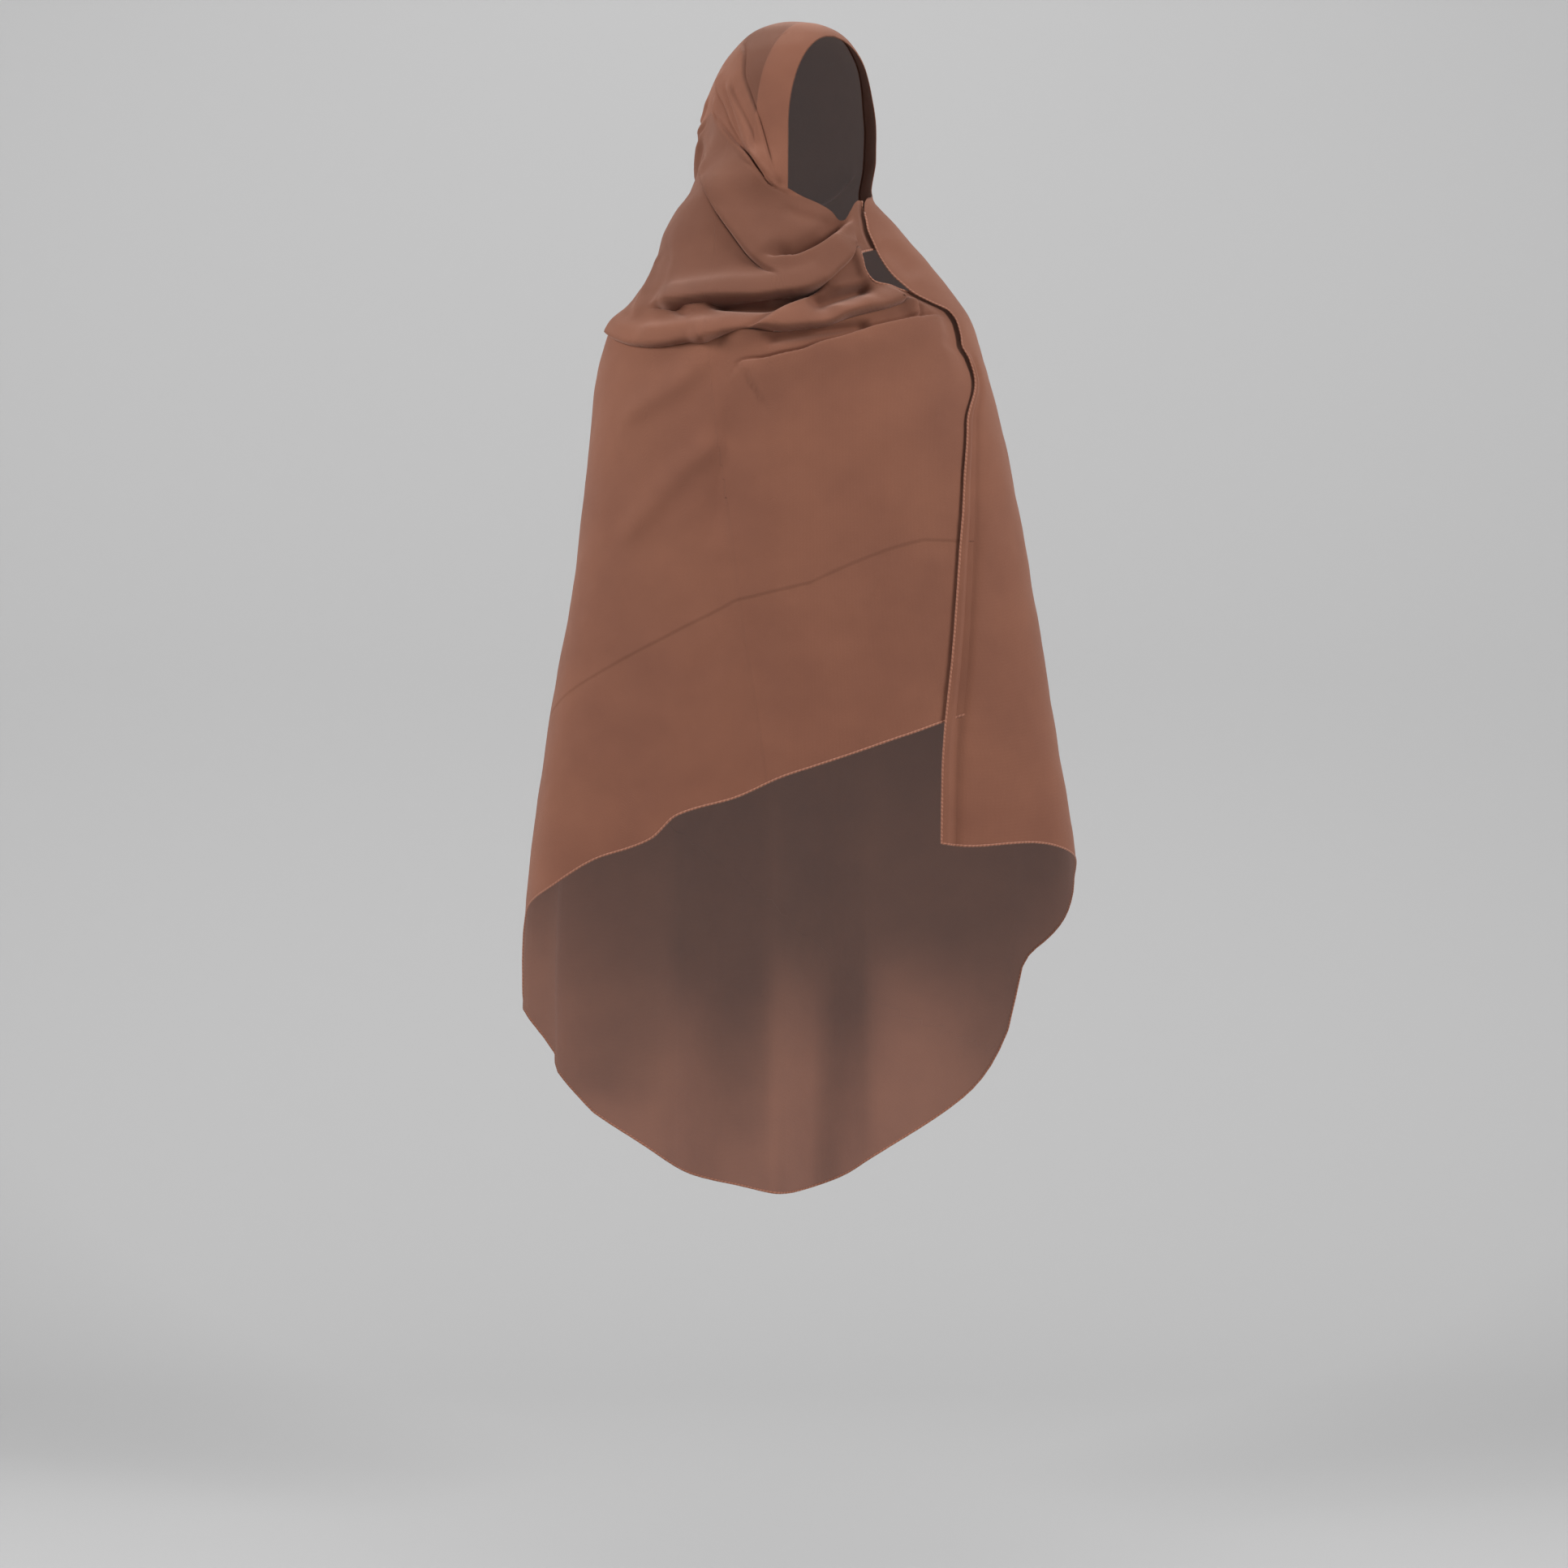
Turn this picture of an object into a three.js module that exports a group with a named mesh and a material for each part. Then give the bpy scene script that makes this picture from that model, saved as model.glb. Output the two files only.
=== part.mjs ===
import * as THREE from 'three';

// Chiffon head scarf in the form it takes when worn: one large rectangle of thin cloth goes over
// the crown, frames the face, crosses under the chin and hangs over the shoulders, open below.
// Millimetres, +Z up. The origin is the crown, the front faces -Y, and +X is the side where the
// hanging end crosses over the front panel. Angles run from the front round by +X and the back.

// Main sizes
const hoodHeight = 250;
const hoodWidth = 200;
const hoodDepth = 220;
const yokeHeight = 170;
const shoulderSpan = 445;
const chestDepth = 290;
const skirtLength = 975;
const hemSpan = 660;
const hemDepth = 300;
const clothWall = 1.5;

// Face opening
const headTurn = 40;
const faceTop = 30;
const faceWidest = 146;
const faceHalfWidth = 67;
const faceForward = 75;

// Where the hanging end lies over the front panel
const layerGap = 7;
const panelTuck = 20;

// Turned-under band round the face, rolled hem, and the pin in the overlap
const bandWall = 1;
const bandGap = 0.35;
const hemBead = 3;
const hemSides = 4;
const hemGap = 0.35;
const pinLength = 26;
const pinDiameter = 0.9;
const pinHead = 3;
const pinGap = 0.3;

// A level counts down the cloth: 0 at the crown, 1 at the chin, 2 at the upper arms, 3 at the
// lowest point that the hem may reach. Heights in every table are levels.
const levelDrops = [0, hoodHeight, hoodHeight + yokeHeight, hoodHeight + yokeHeight + skirtLength];
const faceTopLevel = faceTop / hoodHeight;
const faceWidestLevel = faceWidest / hoodHeight;
const zoneWidths = [hoodWidth, shoulderSpan, hemSpan];
const zoneDepths = [hoodDepth, chestDepth, hemDepth];

// Plan sections: front and back are shares of the zone's depth, left and right of its width,
// turn is the direction that the front faces, square is 2 for an ellipse and more for a box.
const sections = [
  { level: 0, turn: 40, front: 0, back: 0, left: 0, right: 0, square: 2 },
  { level: 0.008, turn: 40, front: 0.09, back: 0.09, left: 0.1, right: 0.1, square: 2 },
  { level: 0.024, turn: 40, front: 0.165, back: 0.155, left: 0.165, right: 0.17, square: 2 },
  { level: 0.06, turn: 40, front: 0.265, back: 0.25, left: 0.25, right: 0.27, square: 2 },
  { level: 0.112, turn: 40, front: 0.34, back: 0.325, left: 0.31, right: 0.33, square: 2 },
  { level: 0.204, turn: 40, front: 0.4, back: 0.41, left: 0.39, right: 0.4, square: 2.05 },
  { level: 0.336, turn: 40, front: 0.435, back: 0.48, left: 0.45, right: 0.44, square: 2.1 },
  { level: 0.488, turn: 40, front: 0.46, back: 0.525, left: 0.49, right: 0.46, square: 2.15 },
  { level: 0.64, turn: 39, front: 0.468, back: 0.54, left: 0.51, right: 0.455, square: 2.2 },
  { level: 0.776, turn: 31, front: 0.464, back: 0.555, left: 0.595, right: 0.43, square: 2.2 },
  { level: 0.888, turn: 16, front: 0.474, back: 0.564, left: 0.69, right: 0.42, square: 2.2 },
  { level: 1, turn: 8, front: 0.51, back: 0.57, left: 0.75, right: 0.62, square: 2.2 },
  { level: 1.2, turn: 3, front: 0.42, back: 0.434, left: 0.358, right: 0.355, square: 2.2 },
  { level: 1.44, turn: 0, front: 0.455, back: 0.441, left: 0.412, right: 0.425, square: 2.2 },
  { level: 1.59, turn: 0, front: 0.476, back: 0.448, left: 0.467, right: 0.472, square: 2.25 },
  { level: 1.7, turn: 0, front: 0.49, back: 0.452, left: 0.485, right: 0.487, square: 2.3 },
  { level: 1.925, turn: 0, front: 0.507, back: 0.459, left: 0.508, right: 0.512, square: 2.4 },
  { level: 2.084, turn: 0, front: 0.507, back: 0.453, left: 0.358, right: 0.38, square: 2.6 },
  { level: 2.22, turn: 0, front: 0.5, back: 0.467, left: 0.38, right: 0.418, square: 2.6 },
  { level: 2.415, turn: 0, front: 0.487, back: 0.49, left: 0.429, right: 0.463, square: 2.6 },
  { level: 2.58, turn: 0, front: 0.477, back: 0.503, left: 0.462, right: 0.499, square: 2.6 },
  { level: 2.738, turn: 0, front: 0.47, back: 0.51, left: 0.477, right: 0.515, square: 2.6 },
  { level: 3, turn: 0, front: 0.467, back: 0.513, left: 0.48, right: 0.519, square: 2.6 },
];

// Front edge of the hanging end below the widest part of the face, as angles by level
const hangingEdge = [
  { level: 0.68, angle: 83 },
  { level: 0.8, angle: 86 },
  { level: 0.86, angle: 88 },
  { level: 0.9, angle: 84 },
  { level: 0.94, angle: 76 },
  { level: 0.983, angle: 66 },
  { level: 1.07, angle: 53 },
  { level: 1.19, angle: 48.5 },
  { level: 1.325, angle: 48 },
  { level: 1.43, angle: 50 },
  { level: 1.49, angle: 53.5 },
  { level: 1.54, angle: 60 },
  { level: 1.58, angle: 66 },
  { level: 1.65, angle: 68.5 },
  { level: 1.75, angle: 68 },
  { level: 1.82, angle: 66.5 },
  { level: 1.9, angle: 68 },
  { level: 2, angle: 68 },
  { level: 2.06, angle: 61 },
  { level: 2.18, angle: 57 },
  { level: 2.33, angle: 54 },
  { level: 2.47, angle: 51.5 },
  { level: 3, angle: 51 },
];

// Edge of the front panel, one turn further round: down the cheek at cheekEdge, under the chin,
// down the throat, and up over the shoulder, where it goes under the hanging end
const cheekEdge = 357.5;
const chinEdge = [
  { angle: 357.5, level: 0.86 },
  { angle: 361, level: 0.885 },
  { angle: 367, level: 0.905 },
  { angle: 375, level: 0.925 },
  { angle: 384, level: 0.945 },
  { angle: 390, level: 0.97 },
  { angle: 395, level: 0.99 },
];
const throatEdge = [
  { level: 0.99, angle: 395 },
  { level: 1.08, angle: 395 },
  { level: 1.15, angle: 394 },
  { level: 1.26, angle: 393 },
  { level: 1.38, angle: 395.5 },
];
const shoulderEdge = [
  { angle: 395.5, level: 1.38 },
  { angle: 398.5, level: 1.42 },
  { angle: 405, level: 1.44 },
  { angle: 412.5, level: 1.448 },
  { angle: 420.5, level: 1.475 },
  { angle: 431, level: 1.525 },
  { angle: 437, level: 1.58 },
  { angle: 440, level: 1.65 },
];
const tuckedEdge = [
  { level: 1.65, angle: 440 },
  { level: 1.75, angle: 440 },
  { level: 1.9, angle: 438 },
  { level: 2, angle: 436 },
  { level: 2.06, angle: 430 },
  { level: 2.18, angle: 425 },
  { level: 2.33, angle: 420 },
  { level: 2.47, angle: 418 },
  { level: 3, angle: 418 },
];

// Hem height by angle, from the foot of the hanging end round the back to the front panel
const hem = [
  { angle: 48, level: 2.546 },
  { angle: 58, level: 2.552 },
  { angle: 69, level: 2.548 },
  { angle: 80, level: 2.562 },
  { angle: 90, level: 2.59 },
  { angle: 99, level: 2.64 },
  { angle: 105, level: 2.672 },
  { angle: 111, level: 2.708 },
  { angle: 115, level: 2.79 },
  { angle: 124, level: 2.87 },
  { angle: 145, level: 2.95 },
  { angle: 180, level: 2.995 },
  { angle: 206, level: 2.985 },
  { angle: 227, level: 2.955 },
  { angle: 242, level: 2.9 },
  { angle: 250, level: 2.845 },
  { angle: 256, level: 2.79 },
  { angle: 263, level: 2.76 },
  { angle: 269, level: 2.735 },
  { angle: 273, level: 2.67 },
  { angle: 278, level: 2.63 },
  { angle: 288, level: 2.6 },
  { angle: 298, level: 2.566 },
  { angle: 311, level: 2.543 },
  { angle: 318, level: 2.516 },
  { angle: 336, level: 2.496 },
  { angle: 355, level: 2.473 },
  { angle: 372, level: 2.458 },
  { angle: 389, level: 2.441 },
  { angle: 406, level: 2.419 },
  { angle: 420, level: 2.396 },
];

// Folds: each runs from start by middle to end (angle, level), stands out by height, a share of
// the chest depth, and falls off above and below its crest within shares of the same depth.
const folds = [
  {
    name: 'layer edge', height: 0.014, above: 0.025, below: 0.09,
    start: [311, 0.14], middle: [322, 0.42], end: [347, 0.78],
  },
  {
    name: 'hood pleat', height: 0.014, above: 0.03, below: 0.06,
    start: [286, 0.28], middle: [316, 0.51], end: [356, 0.85],
  },
  {
    name: 'wrap top', height: 0.022, above: 0.03, below: 0.13,
    start: [291, 0.46], middle: [332, 0.72], end: [391, 0.97],
  },
  {
    name: 'wrap foot', height: 0.03, above: 0.1, below: 0.035,
    start: [290, 0.72], middle: [323, 0.96], end: [354, 1.44],
  },
  {
    name: 'wrap groove', height: -0.025, above: 0.03, below: 0.06,
    start: [288, 0.8], middle: [319, 1.03], end: [350, 1.5],
  },
  {
    name: 'chin crease', height: -0.024, above: 0.035, below: 0.03,
    start: [354, 1.29], middle: [377, 1.18], end: [394, 0.98],
  },
  {
    name: 'chin swag', height: 0.03, above: 0.05, below: 0.05,
    start: [337, 1.18], middle: [360, 1.34], end: [388, 1.11],
  },
  {
    name: 'swag edge', height: 0.042, above: 0.12, below: 0.04,
    start: [307, 1.56], middle: [355, 1.51], end: [394, 1.14],
  },
  {
    name: 'swag hollow', height: -0.022, above: 0.035, below: 0.05,
    start: [330, 1.61], middle: [351, 1.64], end: [380, 1.52],
  },
  {
    name: 'rising roll', height: 0.028, above: 0.04, below: 0.04,
    start: [340, 1.8], middle: [362, 1.6], end: [395, 1.14],
  },
  {
    name: 'shoulder fold', height: 0.03, above: 0.05, below: 0.04,
    start: [278, 1.7], middle: [317, 1.84], end: [369, 1.76],
  },
  {
    name: 'lower roll', height: 0.032, above: 0.045, below: 0.035,
    start: [334, 1.79], middle: [384, 1.68], end: [411, 1.5],
  },
  {
    name: 'roll foot', height: -0.012, above: 0.03, below: 0.045,
    start: [341, 1.86], middle: [369, 1.85], end: [395, 1.76],
  },
  {
    name: 'panel top', height: 0.022, above: 0.03, below: 0.12,
    start: [338, 2.0], middle: [376, 1.87], end: [427, 1.61],
  },
  {
    name: 'neck hollow', height: -0.04, above: 0.09, below: 0.09,
    start: [48, 1.05], middle: [50, 1.2], end: [52, 1.35],
  },
  {
    name: 'shoulder dent', height: -0.025, above: 0.04, below: 0.04,
    start: [298, 1.55], middle: [309, 1.6], end: [317, 1.68],
  },
];

// Upright flutes that grow from the arms to the hem: width and depth are shares of the hem span
const flutes = [
  { angle: 76, width: 0.06, depth: 0.02 },
  { angle: 124, width: 0.07, depth: 0.03 },
  { angle: 140, width: 0.05, depth: -0.03 },
  { angle: 158, width: 0.06, depth: 0.035 },
  { angle: 180, width: 0.06, depth: -0.03 },
  { angle: 202, width: 0.06, depth: 0.035 },
  { angle: 221, width: 0.05, depth: -0.03 },
  { angle: 241, width: 0.05, depth: 0.03 },
  { angle: 257, width: 0.025, depth: -0.03 },
  { angle: 288, width: 0.05, depth: 0.01 },
  { angle: 316, width: 0.07, depth: 0.016 },
  { angle: 342, width: 0.06, depth: -0.012 },
  { angle: 380, width: 0.08, depth: 0.01 },
];

const radians = THREE.MathUtils.degToRad;
const degrees = THREE.MathUtils.radToDeg;
const smoothstep = THREE.MathUtils.smoothstep;

// Drop below the crown at a level
function dropAt(level) {
  const zone = Math.min(2, Math.floor(level));
  return levelDrops[zone] + (level - zone) * (levelDrops[zone + 1] - levelDrops[zone]);
}

// Smooth curve through the points that never overshoots them
function smoothCurve(xs, ys) {
  const steps = [];
  const slopes = [];
  for (let i = 0; i + 1 < xs.length; i += 1) {
    steps.push(xs[i + 1] - xs[i]);
    slopes.push((ys[i + 1] - ys[i]) / (xs[i + 1] - xs[i]));
  }
  const tangents = xs.map((x, i) => {
    if (i === 0) return slopes[0];
    if (i === slopes.length) return slopes[i - 1];
    if (slopes[i - 1] * slopes[i] <= 0) return 0;
    const before = 2 * steps[i] + steps[i - 1];
    const after = steps[i] + 2 * steps[i - 1];
    return (before + after) / (before / slopes[i - 1] + after / slopes[i]);
  });
  return (x) => {
    let i = 0;
    while (i < steps.length - 1 && x > xs[i + 1]) i += 1;
    const t = THREE.MathUtils.clamp((x - xs[i]) / steps[i], 0, 1);
    const t2 = t * t;
    const t3 = t2 * t;
    return (2 * t3 - 3 * t2 + 1) * ys[i] + (t3 - 2 * t2 + t) * steps[i] * tangents[i]
      + (3 * t2 - 2 * t3) * ys[i + 1] + (t3 - t2) * steps[i] * tangents[i + 1];
  };
}

// The sections' columns as curves of the root of the drop, so that the crown comes out round
const sectionRoots = sections.map((row) => Math.sqrt(dropAt(row.level)));
function sectionCurve(column, sizes) {
  const values = sections.map((row) => {
    const zone = row.level <= 1 ? 0 : Math.min(2, Math.ceil(row.level) - 1);
    return row[column] * (sizes ? sizes[zone] : 1);
  });
  return smoothCurve(sectionRoots, values);
}
const frontAt = sectionCurve('front', zoneDepths);
const backAt = sectionCurve('back', zoneDepths);
const leftAt = sectionCurve('left', zoneWidths);
const rightAt = sectionCurve('right', zoneWidths);
const turnAt = sectionCurve('turn');
const squareAt = sectionCurve('square');

// Distance of the plain form from the upright axis
function plainRadius(angle, drop) {
  const root = Math.sqrt(drop);
  const turned = radians(angle - turnAt(root));
  const ahead = Math.cos(turned);
  const aside = Math.sin(turned);
  const long = Math.max(ahead > 0 ? frontAt(root) : backAt(root), 0.001);
  const wide = Math.max(aside > 0 ? rightAt(root) : leftAt(root), 0.001);
  const power = squareAt(root);
  const sum = Math.abs(ahead / long) ** power + Math.abs(aside / wide) ** power;
  return sum ** (-1 / power);
}

function pointAt(angle, drop, radius) {
  const a = radians(angle);
  return new THREE.Vector3(radius * Math.sin(a), -radius * Math.cos(a), -drop);
}

// Crest points of each fold on the plain form
const crestSteps = 12;
const crests = folds.map((fold) => {
  const points = [];
  for (let i = 0; i <= crestSteps; i += 1) {
    const t = i / crestSteps;
    const weights = [(1 - t) * (1 - t), 2 * t * (1 - t), t * t];
    const mid = [0, 1].map((k) => 2 * fold.middle[k] - (fold.start[k] + fold.end[k]) / 2);
    const angle = weights[0] * fold.start[0] + weights[1] * mid[0] + weights[2] * fold.end[0];
    const drop = dropAt(weights[0] * fold.start[1] + weights[1] * mid[1] + weights[2] * fold.end[1]);
    points.push({ angle, drop });
  }
  return points;
});

// How far one fold lifts the cloth at an angle and drop
function foldLift(fold, crest, angle, drop, radius) {
  let nearest = Infinity;
  let side = 1;
  let along = 0;
  for (let i = 0; i < crestSteps; i += 1) {
    const ax = radians(crest[i].angle - angle) * radius;
    const ay = crest[i].drop - drop;
    const bx = radians(crest[i + 1].angle - angle) * radius;
    const by = crest[i + 1].drop - drop;
    const dx = bx - ax;
    const dy = by - ay;
    const t = THREE.MathUtils.clamp(-(ax * dx + ay * dy) / (dx * dx + dy * dy), 0, 1);
    const distance = Math.hypot(ax + dx * t, ay + dy * t);
    if (distance < nearest) {
      nearest = distance;
      side = dx * ay - dy * ax;
      along = (i + t) / crestSteps;
    }
  }
  const reach = chestDepth * (side > 0 ? fold.above : fold.below);
  const fade = smoothstep(along, -0.01, 0.2) * smoothstep(1 - along, -0.01, 0.2);
  return chestDepth * fold.height * fade * Math.exp(-((nearest / reach) ** 2));
}

// Free edges and hem
function tableCurve(rows, from, to) {
  return smoothCurve(rows.map((row) => row[from]), rows.map((row) => row[to]));
}
const widestHalf = degrees(Math.atan2(faceHalfWidth, faceForward));
const widest = { level: faceWidestLevel, angle: headTurn + widestHalf };
const hangingAngle = tableCurve([widest, ...hangingEdge], 'level', 'angle');
const chinLevel = tableCurve(chinEdge, 'angle', 'level');
const throatAngle = tableCurve(throatEdge, 'level', 'angle');
const shoulderLevel = tableCurve(shoulderEdge, 'angle', 'level');
const tuckedAngle = tableCurve(tuckedEdge, 'level', 'angle');
const hemLevel = tableCurve(hem, 'angle', 'level');

// Half the face opening as an angle, above its widest part
function faceHalfAngle(level) {
  const rise = (faceWidestLevel - level) / (faceWidestLevel - faceTopLevel);
  return degrees(Math.atan2(faceHalfWidth * Math.sqrt(Math.max(0, 1 - rise * rise)), faceForward));
}
function startAngle(level) {
  return level < faceWidestLevel ? headTurn + faceHalfAngle(level) : hangingAngle(level);
}
function cheekAngle(level) {
  if (level >= faceWidestLevel) return cheekEdge;
  return THREE.MathUtils.lerp(headTurn + 360, cheekEdge, faceHalfAngle(level) / widestHalf);
}

// Flutes hang from the upper arms and reach their full depth at the hem
const fluteTop = 2;
const hemGirthShare = 0.8;
function fluteLift(angle, level) {
  const grow = smoothstep(level, fluteTop, 3);
  let lift = 0;
  for (const flute of flutes) {
    const reach = degrees(flute.width * hemSpan / (hemDepth * hemGirthShare));
    lift += flute.depth * hemSpan * Math.exp(-(((angle - flute.angle) / reach) ** 2));
  }
  return lift * grow;
}

// Share of the way that the front panel has gone under the hanging end: it steps inward there,
// and its folds die away
function tuckedShare(angle, level) {
  const hanging = startAngle(level) + 360;
  return smoothstep(angle, hanging - panelTuck, hanging - 1) * smoothstep(level, 1.3, 1.45);
}

function clothPoint(angle, level) {
  const drop = dropAt(level);
  const plain = plainRadius(angle, drop);
  let lift = fluteLift(angle, level);
  folds.forEach((fold, i) => {
    lift += foldLift(fold, crests[i], angle, drop, plain);
  });
  const tucked = tuckedShare(angle, level);
  return pointAt(angle, drop, plain + lift * (1 - tucked) - layerGap * tucked);
}

// Grid rows: rings over the crown, then rows split by the face opening and the overlap. Each
// stretch ends on a level where the cloth changes its outline.
const chinTop = chinEdge[0].level;
const shoulderTop = shoulderEdge[0].level;
const rowLevels = [0];
function addRows(count, last, spread) {
  const first = rowLevels[rowLevels.length - 1];
  for (let i = 1; i <= count; i += 1) rowLevels.push(first + (last - first) * spread(i / count));
  return rowLevels.length - 1;
}
const evenly = (t) => t;
const crownSpread = 1.7;
const skirtSpread = 0.9;
const slitRow = addRows(4, faceTopLevel, (t) => t ** crownSpread);
addRows(8, faceWidestLevel, (t) => 1 - Math.cos(t * Math.PI / 2));
const chinRow = addRows(5, chinTop, evenly);
addRows(10, shoulderTop, evenly);
const shoulderRow = rowLevels.length - 1;
addRows(13, 2, evenly);
const lastRow = addRows(9, 3, (t) => t ** skirtSpread);

// Grid columns: round the back, over the cheek, under the chin, and under the hanging end
const nape = 282;
const columnStarts = [0, 24, 40, 48, 58];
const columns = columnStarts[4];
const cheekColumn = columnStarts[2];
const throatColumn = columnStarts[3];
function columnAngle(j, level) {
  const stops = [
    level < faceTopLevel ? headTurn : startAngle(level),
    nape,
    level < faceTopLevel ? headTurn + 360 : cheekAngle(level),
    throatAngle(level),
    tuckedAngle(level),
  ];
  let k = 0;
  while (j > columnStarts[k + 1]) k += 1;
  const share = (j - columnStarts[k]) / (columnStarts[k + 1] - columnStarts[k]);
  return THREE.MathUtils.lerp(stops[k], stops[k + 1], share);
}

// Under the chin and over the shoulder the cloth begins at its edge, below the row
function edgeLevelAt(j) {
  if (j <= cheekColumn) return 0;
  const angle = columnAngle(j, j <= throatColumn ? chinTop : shoulderTop);
  return j <= throatColumn ? chinLevel(angle) : shoulderLevel(angle);
}
const edgeLevels = Array.from({ length: columns + 1 }, (_, j) => edgeLevelAt(j));

function gridPoint(i, j) {
  let level = Math.max(rowLevels[i], edgeLevels[j]);
  let angle = columnAngle(j, level);
  if (i > shoulderRow && rowLevels[i] > 2) {
    for (let pass = 0; pass < 3; pass += 1) {
      level = 2 + (rowLevels[i] - 2) * (hemLevel(angle) - 2);
      angle = columnAngle(j, level);
    }
  }
  return clothPoint(angle, level);
}

// Outer face of the cloth as shared vertices, with quads cut along their shorter diagonal
const vertices = [];
const grid = rowLevels.map(() => []);
for (let i = 0; i <= lastRow; i += 1) {
  for (let j = 0; j <= columns; j += 1) {
    const wholeRing = i <= slitRow && j >= cheekColumn;
    const aboveEdge = i > slitRow && j > cheekColumn && rowLevels[i] < edgeLevels[j];
    if (i === 0 && j > 0) grid[i][j] = grid[i][0];
    else if (wholeRing) grid[i][j] = grid[i][0];
    else if (aboveEdge && i > slitRow + 1) grid[i][j] = grid[i - 1][j];
    else {
      grid[i][j] = vertices.length;
      vertices.push(gridPoint(i, j));
    }
  }
}

// The cloth under the chin starts at the chin row, and the cloth over the shoulder at its own
function hasCloth(i, j) {
  if (j >= throatColumn) return i >= shoulderRow;
  return j < cheekColumn || i >= chinRow;
}

function cellTriangles(i, j) {
  const a = grid[i][j];
  const b = grid[i][j + 1];
  const c = grid[i + 1][j + 1];
  const d = grid[i + 1][j];
  const direct = vertices[a].distanceTo(vertices[c]) < vertices[b].distanceTo(vertices[d]);
  const split = direct ? [[a, d, c], [a, c, b]] : [[a, d, b], [b, d, c]];
  return split.filter(([p, q, r]) => p !== q && q !== r && r !== p);
}

function patchTriangles(firstRow, lastRow, wanted) {
  const triangles = [];
  for (let i = firstRow; i < lastRow; i += 1) {
    for (let j = 0; j < columns; j += 1) {
      if (hasCloth(i, j) && wanted(j)) triangles.push(...cellTriangles(i, j));
    }
  }
  return triangles;
}

const clothTriangles = patchTriangles(0, lastRow, () => true);
const normals = vertices.map(() => new THREE.Vector3());
for (const [p, q, r] of clothTriangles) {
  const first = vertices[q].clone().sub(vertices[p]);
  const face = vertices[r].clone().sub(vertices[p]).cross(first).negate();
  for (const corner of [p, q, r]) normals[corner].add(face);
}
normals.forEach((normal) => normal.normalize());

// Closed shell between two depths under the outer face, with its free edges walled in
function shellGeometry(triangles, depthOut, depthIn) {
  const used = [...new Set(triangles.flat())];
  const slot = new Map(used.map((vertex, k) => [vertex, k]));
  const positions = [];
  for (const depth of [depthOut, depthIn]) {
    for (const vertex of used) {
      positions.push(...vertices[vertex].clone().addScaledVector(normals[vertex], -depth).toArray());
    }
  }
  const index = [];
  const open = new Map();
  for (const triangle of triangles) {
    const [p, q, r] = triangle.map((vertex) => slot.get(vertex));
    index.push(p, q, r, r + used.length, q + used.length, p + used.length);
    for (const [from, to] of [[p, q], [q, r], [r, p]]) {
      if (open.has(`${to},${from}`)) open.delete(`${to},${from}`);
      else open.set(`${from},${to}`, [from, to]);
    }
  }
  for (const [from, to] of open.values()) {
    index.push(to, from, from + used.length, to, from + used.length, to + used.length);
  }
  const geometry = new THREE.BufferGeometry();
  geometry.setAttribute('position', new THREE.Float32BufferAttribute(positions, 3));
  geometry.setIndex(index);
  geometry.computeVertexNormals();
  return geometry;
}

const chiffon = new THREE.MeshStandardMaterial({ color: 0x8a5c4b, roughness: 0.85, metalness: 0 });
const doubledChiffon = new THREE.MeshStandardMaterial({ color: 0x935f50, roughness: 0.85, metalness: 0 });
const hemRoll = new THREE.MeshStandardMaterial({ color: 0x7a4638, roughness: 0.8, metalness: 0 });
const pinSteel = new THREE.MeshStandardMaterial({ color: 0xc8c8cc, roughness: 0.25, metalness: 1 });

const scarf = new THREE.Mesh(shellGeometry(clothTriangles, 0, clothWall), chiffon);
scarf.name = 'scarf_cloth';

// The long edge is turned under round the face: a second layer just inside the first
const bandStartColumns = 3;
const bandEndColumns = 6;
const bandTopRow = slitRow - 2;
const bandFootRow = chinRow - 1;
const bandTriangles = patchTriangles(
  bandTopRow,
  bandFootRow,
  (j) => j < bandStartColumns || (j >= cheekColumn - bandEndColumns && j < cheekColumn),
);
const bandDepth = clothWall + bandGap;
const band = new THREE.Mesh(shellGeometry(bandTriangles, bandDepth, bandDepth + bandWall), doubledChiffon);
band.name = 'face_band';

// The narrow rolled hem follows the free edge from the chin down the hanging end, round the hem
// and up the edge of the front panel
const hemTopRow = chinRow + 2;
const edgePath = [];
for (let i = hemTopRow; i <= lastRow; i += 1) edgePath.push(grid[i][0]);
for (let j = 1; j < columns; j += 1) edgePath.push(grid[lastRow][j]);
for (let i = lastRow; i > shoulderRow; i -= 1) {
  if (grid[i][columns] !== grid[i - 1][columns]) edgePath.push(grid[i][columns]);
}
for (let j = columns; j > throatColumn; j -= 1) edgePath.push(grid[shoulderRow][j]);
for (let i = shoulderRow; i > chinRow; i -= 1) {
  if (grid[i][throatColumn] !== grid[i - 1][throatColumn]) edgePath.push(grid[i][throatColumn]);
}

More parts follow.
